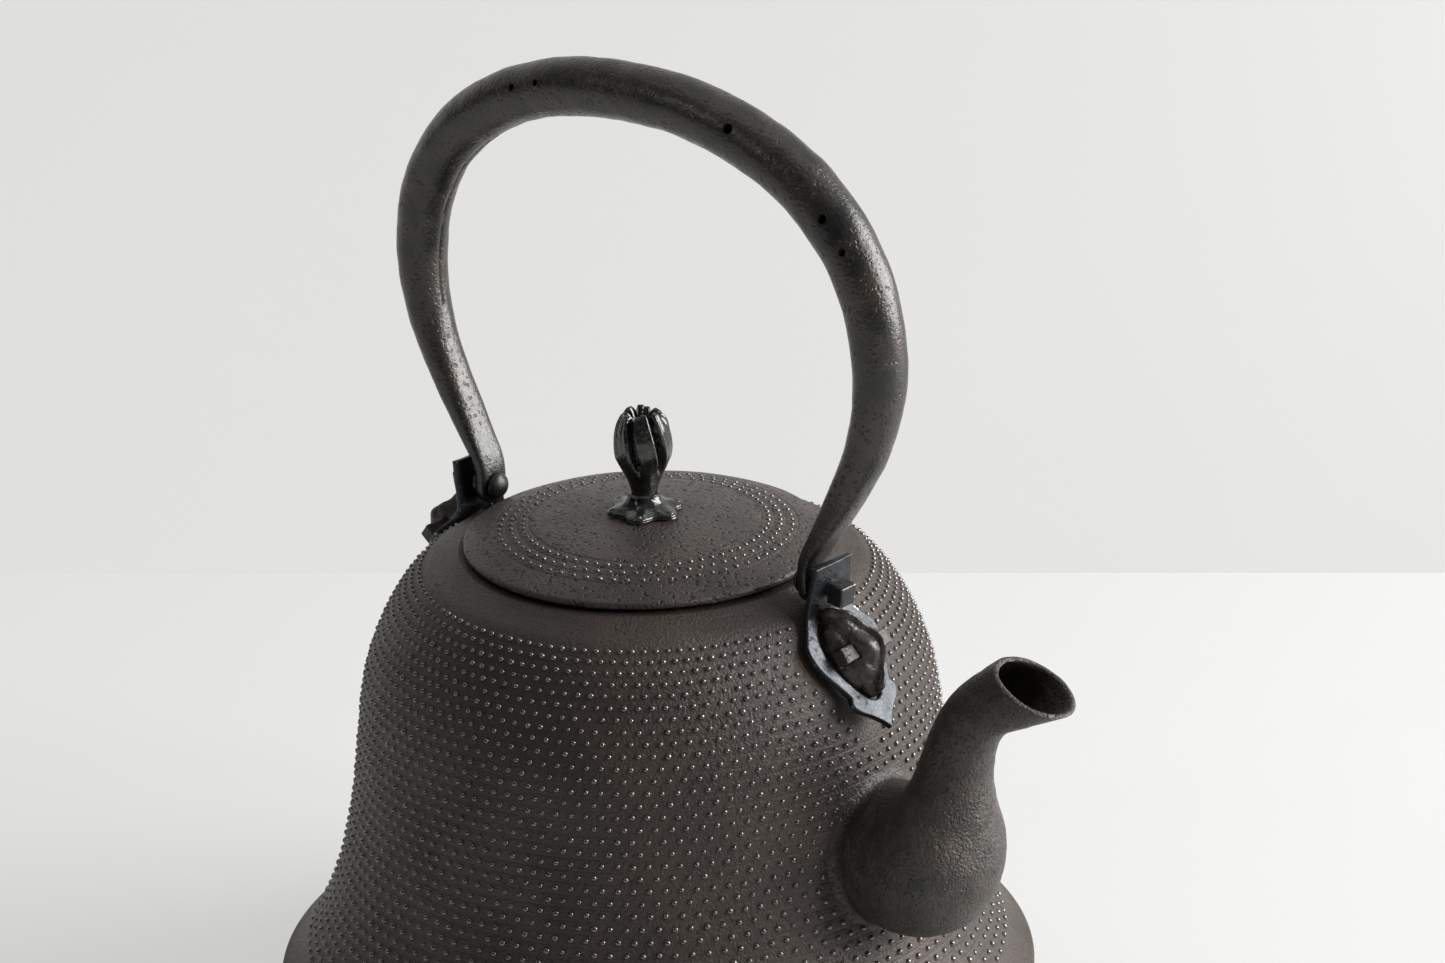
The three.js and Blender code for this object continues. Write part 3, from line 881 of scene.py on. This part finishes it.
def drop_outline():
    """The drop-shaped opening that the lug stands through."""
    half = [np.array([0, 1.2])]
    half += bezier(half[-1], (8.1, 1.4), (8.2, 10.5), 12)
    half += bezier(half[-1], (7.9, 16.6), (2.6, 23.6), 12)
    half += bezier(half[-1], (1.5, 25), (0, 25), 5)
    return half + [np.array([-y, down]) for y, down in reversed(half[1:-1])]


def flat_plate(name, outlines, thickness, bevel):
    """A plate in the XY plane from an outline and the openings in it, its edges bevelled."""
    curve = bpy.data.curves.new(name, "CURVE")
    curve.dimensions = "2D"
    curve.fill_mode = "BOTH"
    curve.extrude = (thickness / 2 - bevel) * MM
    curve.bevel_depth = bevel * MM
    curve.bevel_resolution = 1
    curve.offset = -bevel * MM
    for outline in outlines:
        spline = curve.splines.new("POLY")
        spline.points.add(len(outline) - 1)
        for point, (x, y) in zip(spline.points, outline):
            point.co = (x * MM, y * MM, 0, 1)
        spline.use_cyclic_u = True
    drawn = bpy.data.objects.new(name, curve)
    bpy.context.scene.collection.objects.link(drawn)
    bpy.context.view_layer.update()
    mesh = bpy.data.meshes.new_from_object(drawn)
    made = bpy.data.objects.new(name, mesh)
    bpy.context.scene.collection.objects.link(made)
    bpy.data.objects.remove(drawn)
    face_out(made, WELD)
    return made


def bent_over_shoulder(points):
    """Flat plate points (y, down, lift) onto the leaning upper and lower plates, bent softly."""
    y, down, lift = points.T
    radius = 2.2
    share = 0.5 + 0.5 * np.clip(down / radius, -1, 1)
    run = np.where(np.abs(down) < radius, radius * share**2, np.maximum(down, 0))
    rise = run - down
    lean_out = unit(upper_out * (1 - share)[:, None] + lower_out * share[:, None])
    flat = np.array([BEND_X, 0, BEND_Z]) + lower_down * run[:, None] + upper_up * rise[:, None]
    return flat + lean_out * lift[:, None] + np.stack([y, 0 * y, 0 * y], axis=1)[:, [1, 0, 2]]


def bracket(name, side, seed):
    made = flat_plate(name, [bracket_outline(), drop_outline()], PLATE, 0.3)
    melted(made, 0.26, 3)
    hole_down = (BEND_Z - PIVOT_Z) / math.cos(UPPER_LEAN)
    cut(made, [bar([0, hole_down, -5], [0, hole_down, 5], STUD_HOLE, 40)])
    points = points_of(made)
    points[:, 2] += PLATE / 2
    wave = lumps(points, 7, seed) * 0.16 + lumps(points, 2.2, seed + 4) * 0.04
    points[:, 2] += wave
    points[:, 1] += lumps(points, 5, seed + 2) * 0.15
    set_points(made, bent_over_shoulder(points))
    turn_to_end(made, side)
    node = name.replace("_plate", "_bracket")
    finished(made, "kettle", BRACKET_STEEL, [node], crease=60)


def ellipsoid(centre, sizes, turn=Quaternion(), sides=28, rows=16):
    """A closed egg-shaped solid with these half sizes."""
    v = np.linspace(0.02, np.pi - 0.02, rows)
    rings = around(np.sin(v)[:, None], angles(sides), np.cos(v)[:, None])
    corners, faces = skin(rings * np.array(sizes))
    return corners @ np.array(turn.to_matrix()).T + centre, faces


def lug(name, side, seed):
    """A cast lump through the bracket's opening, with a wavy crest down one side."""
    parts = [
        ellipsoid(on_lower_plate(12.2, 0.2), (10.2, 6.6, 4.6), LOWER_TURN),
        ellipsoid(on_lower_plate(8.4, 1.6), (6.4, 5.8, 4.2), LOWER_TURN),
        ellipsoid(on_lower_plate(14.6, 2.2), (7.0, 4.4, 4.6), LOWER_TURN),
        ellipsoid(on_lower_plate(19.6, 1.4), (4.6, 3.0, 3.4), LOWER_TURN),
    ]
    for t in np.linspace(0, 1, 40):
        down = 1.6 + 20.8 * t
        across = 3.5 * math.sin(math.pi * t) ** 0.8 - 3.4 * (1 - t) ** 2
        lift = 2.6 + 5.2 * math.sin(math.pi * (0.1 + 0.84 * t)) + 0.7 * math.sin(14 * t)
        centre = on_lower_plate(down, lift) + np.array([0, across, 0])
        parts.append(ellipsoid(centre, (1.6, 1.2, 2.6), LOWER_TURN, 12, 8))
        swell = math.sin(math.pi * t)
        flank = on_lower_plate(down, lift - 1.8) + np.array([0, across - 2.0 * swell, 0])
        parts.append(ellipsoid(flank, (2.0, 0.8 + 2.6 * swell, 3.0), LOWER_TURN, 14, 10))
    made = new_object(name, *joined(parts))
    face_out(made)
    melted(made, 0.22, 14)
    pin_hole = (PIN_SIDE + 2 * GAP, PIN_LENGTH + 6, PIN_SIDE + 2 * GAP)
    centre = on_lower_plate(LUG_MIDDLE, PLATE + GAP + PIN_SIDE / 2)
    cut(made, [box_solid(pin_hole, centre, LOWER_TURN)])
    roughen(made, 3.2, 0.4, seed)
    turn_to_end(made, side)
    finished(made, "kettle", LUG_IRON, [name.replace("_hump", "_lug")])


def cross_pin(name, side, seed):
    centre = on_lower_plate(LUG_MIDDLE, PLATE + GAP + PIN_SIDE / 2) + np.array([0, PIN_SHIFT, 0])
    block = rounded_block((PIN_SIDE, PIN_LENGTH, PIN_SIDE), 0.45, centre, LOWER_TURN, 16)
    made = new_object(name, *block)
    face_out(made, WELD)
    roughen(made, 2.6, 0.12, seed)
    turn_to_end(made, side)
    node = name.replace("_square_pin", "_cross_pin")
    finished(made, "kettle", BROWN_PIN, [node], crease=50)


FOOT_THICKNESS = 4.2
STUD_HEAD = {"side": 5.4, "from": 61.5, "to": 65.8}


def stud(name, side, seed):
    """A square head outside the bracket, a shank, and a domed rivet end inside the foot."""
    near = PIVOT_X - FOOT_THICKNESS / 2 - GAP
    head_length = STUD_HEAD["to"] - STUD_HEAD["from"]
    middle = (STUD_HEAD["to"] + STUD_HEAD["from"]) / 2
    size = (head_length, STUD_HEAD["side"], STUD_HEAD["side"])
    tilt = Quaternion((0, 1, 0), UPPER_LEAN)
    head = rounded_block(size, 0.35, np.array([middle, 0, PIVOT_Z - 0.9]), tilt, 12)
    shank = bar([near, 0, PIVOT_Z], [STUD_HEAD["from"] + 1, 0, PIVOT_Z], 2.1)
    dome_line = [[0.05, 2.2], [1.2, 2.05], [2.3, 1.6], [3.1, 0.95], [3.5, 0.3], [3.55, 0.05], [3.3, 0]]
    dome = turned(through(dome_line, 4), 36)
    dome = np.stack([near - dome[..., 2], dome[..., 0], dome[..., 1] + PIVOT_Z], axis=-1)
    made = new_object(name, *joined([head, shank, skin(dome)]))
    face_out(made, WELD)
    roughen(made, 2.2, 0.1, seed)
    turn_to_end(made, side)
    node = name.replace("_rivet", "_stud")
    finished(made, "kettle", STUD_STEEL, [node], crease=50)


def spacer(name, side):
    near = PIVOT_X + FOOT_THICKNESS / 2 + GAP
    outline = [[2.5, 0], [3.4, 0], [3.6, 0.2], [3.6, 0.8], [3.4, 1], [2.5, 1]]
    rings = turned(outline, 48)
    rings = np.stack([near + rings[..., 2], rings[..., 0], rings[..., 1] + PIVOT_Z], axis=-1)
    made = new_object(name, *skin(rings, wrap=True))
    turn_to_end(made, side)
    node = name.replace("_washer", "_spacer")
    finished(made, "kettle", BRACKET_STEEL, [node])


# ---------------------------------------------------------------- handle
# Half of the bail: [x, height above the pivot, half thickness, half width, squareness].
LEG = [
    [PIVOT_X, -4.7, 1.6, 2.2, 4],
    [PIVOT_X, -3.6, 2.1, 3.6, 4],
    [PIVOT_X, -1.8, 2.1, 4.6, 4],
    [PIVOT_X, 0, 2.1, 4.8, 4],
    [PIVOT_X, 4, 2.1, 4.8, 4],
    [55.6, 7.6, 2.4, 4.9, 3.6],
    [58.2, 12, 2.9, 5, 3.2],
    [62.6, 19.5, 3.8, 5.2, 2.8],
    [67.4, 28, 4.7, 5.5, 2.4],
    [72, 38, 5.6, 6, 2.1],
    [75.2, 50, 6.4, 6.6, 2],
    [75.6, 62, 6.9, 7, 2],
    [72.8, 75, 7.2, 7.2, 2],
    [66.4, 87, 7.4, 7.4, 2],
    [57, 96.6, 7.5, 7.5, 2],
    [46, 103.6, 7.5, 7.5, 2],
    [32, 109.2, 7.5, 7.5, 2],
    [16.5, 112.4, 7.5, 7.5, 2],
]
ARCH_TOP = [0, 113.3, 7.5, 7.5, 2]
BAIL = LEG + [ARCH_TOP] + [[-row[0], *row[1:]] for row in reversed(LEG)]
# Worm-eaten holes: [x, height above the pivot, turn from upright towards -Y, radius].
WORM_HOLES = [
    [35.7, 108, 62, 1.3],
    [63.9, 90.1, 56, 1.1],
    [69.7, 81.8, 48, 0.9],
    [-34.2, 108.5, 70, 0.9],
    [-26, 110.8, 70, 0.8],
]
WORM_REACH = 12  # from the tube's middle to outside it
HANDLE_TRIM = 0.3  # keeps the hammered skin inside the plain tube
HANDLE_WALL = 1.7
FIRST_HOLLOW = 8  # the first of the stations above where the tube is hollow


def bail_rings(line, thinner, sides):
    """Flattened round sections along the bail; the seam side is half way round."""
    x, h, thick, wide, square = line.T
    middle = np.stack([x, 0 * x, PIVOT_Z + h], axis=1)
    along = unit(np.gradient(middle, axis=0))
    outward = np.stack([along[:, 2], 0 * x, -along[:, 0]], axis=1)
    c, s = np.cos(angles(sides)), np.sin(angles(sides))
    power = square[:, None]
    reach = (np.abs(c) ** power + np.abs(s) ** power) ** (-1 / power)
    rings = middle[:, None] + outward[:, None] * ((thick - thinner)[:, None] * reach * c)[..., None]
    rings[..., 1] += (wide - thinner)[:, None] * reach * s
    return rings


def bail_handle():
    sides = 72
    line = through(BAIL, 11)
    tube = bail_rings(line, HANDLE_TRIM, sides)
    hollow_line = through(BAIL[FIRST_HOLLOW : len(BAIL) - FIRST_HOLLOW], 8)
    inside = bail_rings(hollow_line, HANDLE_WALL, 24)
    rows = tube.shape[0]
    flat = tube.reshape(-1, 3)
    centre = np.repeat(tube.mean(axis=1), sides, axis=0)
    out = unit(flat - centre)
    high = np.clip((flat[:, 2] - PIVOT_Z - 6) / 30, 0.15, 1)
    hammered = lumps(flat, 9, 1.0) * 0.26 + lumps(flat, 3.2, 6.0) * 0.1
    turn = angles(sides) - np.pi
    seam = 0.38 * np.exp(-((turn / 0.07) ** 2))
    seam = np.tile(seam, rows) * (flat[:, 2] > PIVOT_Z + 45)
    flat = flat + out * (hammered * high - seam)[:, None]
    inner_corners, inner_faces = skin(inside)
    inner_faces = [face[::-1] for face in inner_faces]
    outer = skin(flat.reshape(tube.shape))
    made = new_object("bail_handle", *joined([outer, (inner_corners, inner_faces)]))
    cutters = []
    for x, h, turn_deg, radius in WORM_HOLES:
        a = math.radians(turn_deg)
        start = [x, 0, PIVOT_Z + h]
        end = [x, -WORM_REACH * math.sin(a), PIVOT_Z + h + WORM_REACH * math.cos(a)]
        cutters.append(bar(start, end, radius, 14))
    for side in (-1, 1):
        start = [side * (PIVOT_X - 5), 0, PIVOT_Z]
        cutters.append(bar(start, [side * (PIVOT_X + 5), 0, PIVOT_Z], STUD_HOLE, 36))
    cut(made, cutters)
    finished(made, "handle", HANDLE_IRON, ["handle_tube"], crease=48)


# ---------------------------------------------------------------- lid
DOME_RISE = 6.2
DOME_POWER = 2.6
LID_EDGE = 1.5
LID_THICKNESS = 2.2
STEM_HOLE = 2.6
SPIGOT = {"inner": 36.8, "outer": 38.8, "low": RIM_Z - 8}
LID_ROWS = (31.0, 34.0, 37.0)
LID_GROOVES = (29.4, 32.5, 35.5, 38.6)
LID_DOTS = 66


def dome_z(r):
    return RIM_Z + DOME_RISE * (1 - (np.asarray(r) / LID_RADIUS) ** DOME_POWER)


def lid_casting():
    radii = [STEM_HOLE, 4, 8, 12, 16, 20, 24, 27]
    for groove in LID_GROOVES:
        radii += [groove - 0.8, groove - 0.35, groove, groove + 0.35, groove + 0.8]
    radii += [40.5, 42.5, 44.2, 45.2]
    top = np.array([[r, float(dome_z(r)) - (0.16 if r in LID_GROOVES else 0)] for r in radii])
    under = [[r, float(dome_z(r)) - LID_THICKNESS] for r in np.linspace(36, STEM_HOLE, 14)]
    edge = [[45.75, RIM_Z + 0.05], [LID_RADIUS - 0.02, RIM_Z - 0.25], [LID_RADIUS, RIM_Z - 0.6]]
    edge += [[LID_RADIUS, RIM_Z - LID_EDGE + 0.3], [LID_RADIUS - 0.3, RIM_Z - LID_EDGE]]
    edge += [[SPIGOT["outer"] + 0.4, RIM_Z - LID_EDGE], [SPIGOT["outer"], RIM_Z - LID_EDGE - 0.4]]
    edge += [[SPIGOT["outer"], SPIGOT["low"] + 0.3], [SPIGOT["outer"] - 0.3, SPIGOT["low"]]]
    edge += [[SPIGOT["inner"] + 0.3, SPIGOT["low"]], [SPIGOT["inner"], SPIGOT["low"] + 0.3]]
    profile = np.concatenate([top, np.array(edge), np.array(under)])
    made = new_object("lid_casting", *skin(turned(profile, 200), wrap=True))
    face_out(made)
    points = points_of(made)
    r = np.hypot(points[:, 0], points[:, 1])
    top_side = (points[:, 2] > dome_z(r) - 0.5) & (r > 9)
    points[:, 2] += (lumps(points, 11, 4.0) * 0.1 + lumps(points, 3, 9.0) * 0.05) * top_side
    set_points(made, points)
    finished(made, "lid", LID_IRON, ["lid_plate"], crease=45)


def lid_dots():
    places, outs = [], []
    for i, r in enumerate(LID_ROWS):
        slope = -DOME_RISE * DOME_POWER * (r / LID_RADIUS) ** (DOME_POWER - 1) / LID_RADIUS
        out = unit(np.array([-slope, 1.0]))
        spots, ways = row_of_dots(np.array([r, float(dome_z(r))]), out, LID_DOTS, 0.5 * (i % 2), 0.06)
        places.append(spots)
        outs.append(ways)
    places, outs = np.concatenate(places), np.concatenate(outs)
    size = RANDOM.normal(1, 0.08, len(places)).clip(0.75, 1.2)
    made = new_object(
        "lid_dots",
        *domes(places - outs * 0.1, outs, 0.7 * size, 0.42 * size + 0.1),
    )
    finished(made, "lid", DOT_IRON, crease=80)


# ---------------------------------------------------------------- knob
SEAT_Z = float(dome_z(0)) + GAP
PETALS = 6
BUD_LOW = SEAT_Z + 5 + GAP
WASHER_TOP = float(dome_z(0)) - LID_THICKNESS - GAP
WASHER_THICKNESS = 1.0


def bud_rings():
    """A closed bud: petals parted by slanted slots, their tips standing round a hollow crown."""
    outline = [[3.4, 0], [3.6, 1.2], [4.4, 3.6], [5.8, 6.4], [6.9, 9.6], [7.15, 13], [6.7, 16.4]]
    outline += [[5.9, 19.2], [5.0, 20.9], [4.1, 21.4], [3.3, 20.6], [2.2, 18.6], [0.9, 17.6]]
    line = through(outline + [[0.05, 17.4]], 8)
    a = angles(192)
    r, z = line[:, :1], line[:, 1:]
    along = np.linspace(0, 1, len(line))[:, None]
    twist = 0.026 * (z - 6)
    phase = (a[None, :] + twist) * PETALS / (2 * np.pi)
    off = np.abs(phase - np.round(phase)) * 2
    slot = np.exp(-((off / 0.24) ** 2))
    slot = slot * np.array([1.0, 0.45, 0.8])[(np.round(phase).astype(int)) % 3]
    depth = np.interp(z, [5, 8, 18, 22], [0, 0.36, 0.36, 0.4])
    rim = 0.05 * np.exp(-(((off - 0.42) / 0.16) ** 2)) * np.interp(z, [6, 9], [0, 1])
    crown = along > 0.72
    radius = r * (1 - np.where(crown, 0.1, 1) * depth * slot + rim)
    high = z - 1.9 * slot * np.interp(along, [0.45, 0.6, 0.8, 0.95], [0, 1, 1, 0])
    petal = np.floor(phase + 0.5) % PETALS
    high = high - 0.5 * ((petal * 2) % 3) * np.interp(along, [0.5, 0.65, 0.85, 1], [0, 1, 1, 0])
    return around(radius, a, BUD_LOW + high)


def knob_bud():
    peen = WASHER_TOP - WASHER_THICKNESS - GAP
    stem = bar([0, 0, peen - 0.6], [0, 0, BUD_LOW + 2], STEM_HOLE - GAP)
    head_line = [[0.05, peen - 1.6], [1.8, peen - 1.5], [2.9, peen - 1]]
    head_line += [[3.5, peen - 0.3], [3.4, peen], [0.05, peen]]
    parts = [skin(bud_rings()), stem, skin(turned(head_line, 32))]
    made = new_object("bud_knob", *joined(parts))
    face_out(made)
    points = points_of(made)
    shake = lumps(points, 2.6, 3.0) * 0.12 * (points[:, 2] > BUD_LOW + 1)
    set_points(made, points + normals_of(made) * shake[:, None])
    finished(made, "knob", KNOB_METAL, ["knob_bud"], crease=60)


def knob_seat():
    """A flower of drooping petals with a raised bead at each tip."""
    outline = [[3.0, 0], [8.4, 0], [8.9, 0.35], [8.7, 0.9], [7.4, 1.35]]
    outline += [[6.0, 1.9], [4.9, 2.9], [4.2, 4.1], [4.0, 5]]
    line = through(outline, 5)
    a = angles(160)
    r, z = line[:, :1], line[:, 1:]
    lobe = np.cos(PETALS * a)
    wide = np.interp(r, [3.5, 6, 9], [0, 0.03, 0.12])
    lowest = np.arange(len(line))[:, None] < 5
    radius = r * (1 + np.where(lowest & (r < 5), 0, wide) * lobe)
    ridge = 0.35 * (0.5 + 0.5 * lobe) * np.interp(r, [4.5, 7, 8.6, 9.2], [0, 1, 0.6, 0]) * (z > 0.5)
    parts = [skin(around(radius, a, SEAT_Z + z + ridge))]
    for centre in around(8.3, angles(PETALS), SEAT_Z + 1.0):
        parts.append(ellipsoid(centre, (1.2, 1.2, 0.8), Quaternion(), 18, 10))
    made = new_object("flower_seat", *joined(parts))
    face_out(made)
    cut(made, [bar([0, 0, SEAT_Z - 2], [0, 0, SEAT_Z + 9], STEM_HOLE, 32)])
    finished(made, "lid", KNOB_METAL, ["knob_seat"], crease=60)


def knob_washer():
    low, high = WASHER_TOP - WASHER_THICKNESS, WASHER_TOP
    outline = [[STEM_HOLE, low], [5.8, low], [6, low + 0.2]]
    outline += [[6, high - 0.2], [5.8, high], [STEM_HOLE, high]]
    made = new_object("stem_washer", *skin(turned(outline, 64), wrap=True))
    face_out(made)
    finished(made, "lid", BRACKET_STEEL, ["knob_washer"])


# ---------------------------------------------------------------- infuser basket
BASKET = {"outer": 39.8, "sheet": 0.5, "top": RIM_Z - 3, "low": RIM_Z - 68}
BASKET_RIM = {"outer": 43.2, "thickness": 1.2}
BASKET_FLOOR = {"thickness": 0.7, "bevel": 0.1}
BASKET_SLOT = {"width": 2, "columns": 16, "rows": 2, "height": 24, "first": 9, "pitch": 28}
DRAIN = {"radius": 1.7, "pitch": 12, "rings": 3}


def infuser_rim():
    inner, outer = BASKET["outer"] + GAP, BASKET_RIM["outer"]
    low, high = LEDGE_Z + GAP, LEDGE_Z + GAP + BASKET_RIM["thickness"]
    outline = [[inner, low], [outer - 0.35, low], [outer, low + 0.35], [outer, high - 0.35]]
    outline += [[outer - 0.35, high], [inner + 0.2, high], [inner, high - 0.2]]
    made = new_object("basket_rim", *skin(turned(outline, 160), wrap=True))
    face_out(made)
    finished(made, "infuser", BASKET_STEEL, ["infuser_rim"])


def infuser_wall():
    inner = BASKET["outer"] - BASKET["sheet"]
    heights = np.linspace(BASKET["low"], BASKET["top"], 12)
    outline = [[BASKET["outer"], z] for z in heights] + [[inner, z] for z in heights[::-1]]
    made = new_object("basket_wall", *skin(turned(outline, 160), wrap=True))
    face_out(made)
    cutters = []
    for row in range(BASKET_SLOT["rows"]):
        low = BASKET["low"] + BASKET_SLOT["first"] + BASKET_SLOT["pitch"] * row
        for k in range(BASKET_SLOT["columns"]):
            turn = Quaternion((0, 0, 1), 2 * math.pi * (k + 0.25) / BASKET_SLOT["columns"])
            centre = np.array(turn @ Vector((BASKET["outer"], 0, low + BASKET_SLOT["height"] / 2)))
            size = (6, BASKET_SLOT["width"], BASKET_SLOT["height"])
            cutters.append(box_solid(size, centre, turn))
    cut(made, cutters)
    finished(made, "infuser", BASKET_STEEL, ["infuser_wall"])


def circle(x, y, radius, sides):
    return [(x + radius * math.cos(t), y + radius * math.sin(t)) for t in angles(sides)]


def infuser_base():
    radius = BASKET["outer"] - BASKET["sheet"] - GAP
    outlines = [circle(0, 0, radius, 160)]
    for i in range(DRAIN["rings"]):
        count = max(1, 6 * i)
        for k in range(count):
            a = 2 * math.pi * k / count
            x, y = DRAIN["pitch"] * i * math.cos(a), DRAIN["pitch"] * i * math.sin(a)
            outlines.append(circle(x, y, DRAIN["radius"], 32))
    made = flat_plate("basket_base", outlines, BASKET_FLOOR["thickness"], BASKET_FLOOR["bevel"])
    points = points_of(made)
    points[:, 2] += BASKET["low"] + BASKET_FLOOR["thickness"] / 2
    set_points(made, points)
    finished(made, "infuser", BASKET_STEEL, ["infuser_base"])


# ---------------------------------------------------------------- the object
kettle_body()
hail_dots()
spout_casting()
for end, side, seed in (("front", 1, 1.0), ("rear", -1, 4.0)):
    bracket(f"{end}_plate", side, seed)
    lug(f"{end}_hump", side, seed)
    cross_pin(f"{end}_square_pin", side, seed)
    stud(f"{end}_rivet", side, seed)
    spacer(f"{end}_washer", side)
bail_handle()
lid_casting()
lid_dots()
knob_bud()
knob_seat()
knob_washer()
infuser_rim()
infuser_wall()
infuser_base()


# ---------------------------------------------------------------- table, wall, light and camera
AZIMUTH = math.radians(42.67)
CAMERA_DISTANCE = 822.6  # level distance from the kettle's axis
CAMERA_HEIGHT = 323.3  # above the lid's rim
CAMERA_YAW = math.radians(-1.37)
CAMERA_PITCH = math.radians(20.63)
CAMERA_ROLL = math.radians(-1.27)
CAMERA_LENS = 87.2
TABLE_EDGE = 305.4  # from the kettle's axis to the table's back edge
WALL_DISTANCE = 2900
WALL_TURN = math.radians(37.94)
WALL_HEIGHT = 6500
GROUND_DROP = 2000  # from the table down to the ground
ROOM_SIZE = 9000


def plain(name, tone, roughness, glow):
    """A matt painted surface with a faint unevenness, partly lit from itself."""
    material = bpy.data.materials.new(name)
    material.use_nodes = True
    tree = material.node_tree
    shader = tree.nodes["Principled BSDF"]
    coords = add_node(tree, "ShaderNodeTexCoord").outputs["Object"]
    cloud = spread(tree, noise_at(tree, coords, 160, 2.0), 0.3, 0.7, 0.0, 1.0)
    tree.links.new(mixed(tree, cloud, [t * 0.985 for t in tone], tone), shader.inputs["Base Color"])
    shader.inputs["Roughness"].default_value = roughness
    shader.inputs["Specular IOR Level"].default_value = 0.2
    shader.inputs["Emission Color"].default_value = (1, 0.995, 0.975, 1)
    shader.inputs["Emission Strength"].default_value = glow
    return material


def sheet_object(name, corner, first, second, material):
    """A flat sheet from one corner, with these two edges."""
    corners = np.array([corner, corner + first, corner + first + second, corner + second])
    made = new_object(name, corners, [[0, 1, 2, 3]])
    made.data.materials.append(material)


def room():
    """A pale table whose back edge is close behind the kettle, with a pale wall far behind it and
    pale ground under both."""
    along = np.array([math.cos(WALL_TURN), math.sin(WALL_TURN), 0])
    back = np.array([-along[1], along[0], 0])
    up = np.array([0, 0, 1])
    width = along * ROOM_SIZE * 2
    edge = back * TABLE_EDGE - along * ROOM_SIZE
    foot = back * WALL_DISTANCE - along * ROOM_SIZE - up * GROUND_DROP
    white = plain("table_white", (0.25, 0.25, 0.25), 0.6, 0.49)
    grey = plain("wall_grey", (0.3, 0.3, 0.295), 0.8, 0.56)
    sheet_object("table", edge, width, -back * ROOM_SIZE, white)
    sheet_object("wall", foot, up * WALL_HEIGHT, width, grey)
    sheet_object("ground", foot, width, -back * ROOM_SIZE, grey)


def area_light(name, place, target, size, power):
    lamp = bpy.data.lights.new(name, "AREA")
    lamp.shape = "RECTANGLE"
    lamp.size, lamp.size_y = size[0] * MM, size[1] * MM
    lamp.energy = power
    made = bpy.data.objects.new(name, lamp)
    bpy.context.scene.collection.objects.link(made)
    made.location = Vector(place) * MM
    direction = (Vector(target) - Vector(place)).normalized()
    made.rotation_euler = direction.to_track_quat("-Z", "Y").to_euler()


def room_glow(toward, dark, bright):
    """Light from all round, strong from the direction toward and weak from the opposite one."""
    world = bpy.data.worlds.new("room_light")
    world.use_nodes = True
    tree = world.node_tree
    way = add_node(tree, "ShaderNodeTexCoord").outputs["Generated"]
    side = add_node(
        tree, "ShaderNodeVectorMath", {0: way, 1: tuple(unit(toward))}, operation="DOT_PRODUCT"
    ).outputs["Value"]
    strength = spread(tree, side, -0.5, 0.9, dark, bright)
    background = tree.nodes["Background"]
    background.inputs["Color"].default_value = (1.0, 0.995, 0.975, 1)
    tree.links.new(strength, background.inputs["Strength"])
    bpy.context.scene.world = world


def lights():
    """A broad window on the right, two small bright panes that make specks on the dots, a ceiling,
    a wash on the wall's right side, and a room that is dark behind the camera."""
    right = np.array([math.cos(AZIMUTH), math.sin(AZIMUTH), 0])
    ahead = np.array([-math.sin(AZIMUTH), math.cos(AZIMUTH), 0])
    up = np.array([0, 0, 1])
    target = (0, 0, 120)
    area_light("window", right * 1200 + up * 600, target, (900, 1000), 36)
    area_light("pane", right * 900 - ahead * 520 + up * 620, target, (150, 260), 4.4)
    area_light("left_strip", -right * 1000 - ahead * 350 + up * 850, target, (70, 160), 1.0)
    area_light("ceiling", ahead * 160 + up * 1700, ahead * 250, (2000, 700), 4)
    wash_target = right * 1100 + ahead * 2900 - up * 400
    area_light("wall_wash", right * 1500 + ahead * 1900 - up * 200, wash_target, (400, 400), 8)
    room_glow(right * 0.8 + ahead * 0.4 + up * 0.45, 0.005, 0.36)
    bpy.context.scene.view_settings.view_transform = "Standard"


def camera():
    heading = AZIMUTH + CAMERA_YAW
    level = Vector((-math.sin(heading), math.cos(heading), 0))
    forward = level * math.cos(CAMERA_PITCH) - Vector((0, 0, 1)) * math.sin(CAMERA_PITCH)
    right = Vector((math.cos(heading), math.sin(heading), 0))
    upward = right.cross(forward)
    x_axis = right * math.cos(CAMERA_ROLL) + upward * math.sin(CAMERA_ROLL)
    y_axis = upward * math.cos(CAMERA_ROLL) - right * math.sin(CAMERA_ROLL)
    place = Vector((
        CAMERA_DISTANCE * math.sin(AZIMUTH),
        -CAMERA_DISTANCE * math.cos(AZIMUTH),
        RIM_Z + CAMERA_HEIGHT,
    )) * MM
    lens = bpy.data.cameras.new("camera")
    lens.sensor_width = 36
    lens.lens = CAMERA_LENS
    lens.clip_start = 0.01
    made = bpy.data.objects.new("camera", lens)
    bpy.context.scene.collection.objects.link(made)
    turn = Matrix((x_axis, y_axis, -forward)).transposed().to_4x4()
    made.matrix_world = Matrix.Translation(place) @ turn
    bpy.context.scene.camera = made


room()
lights()
camera()
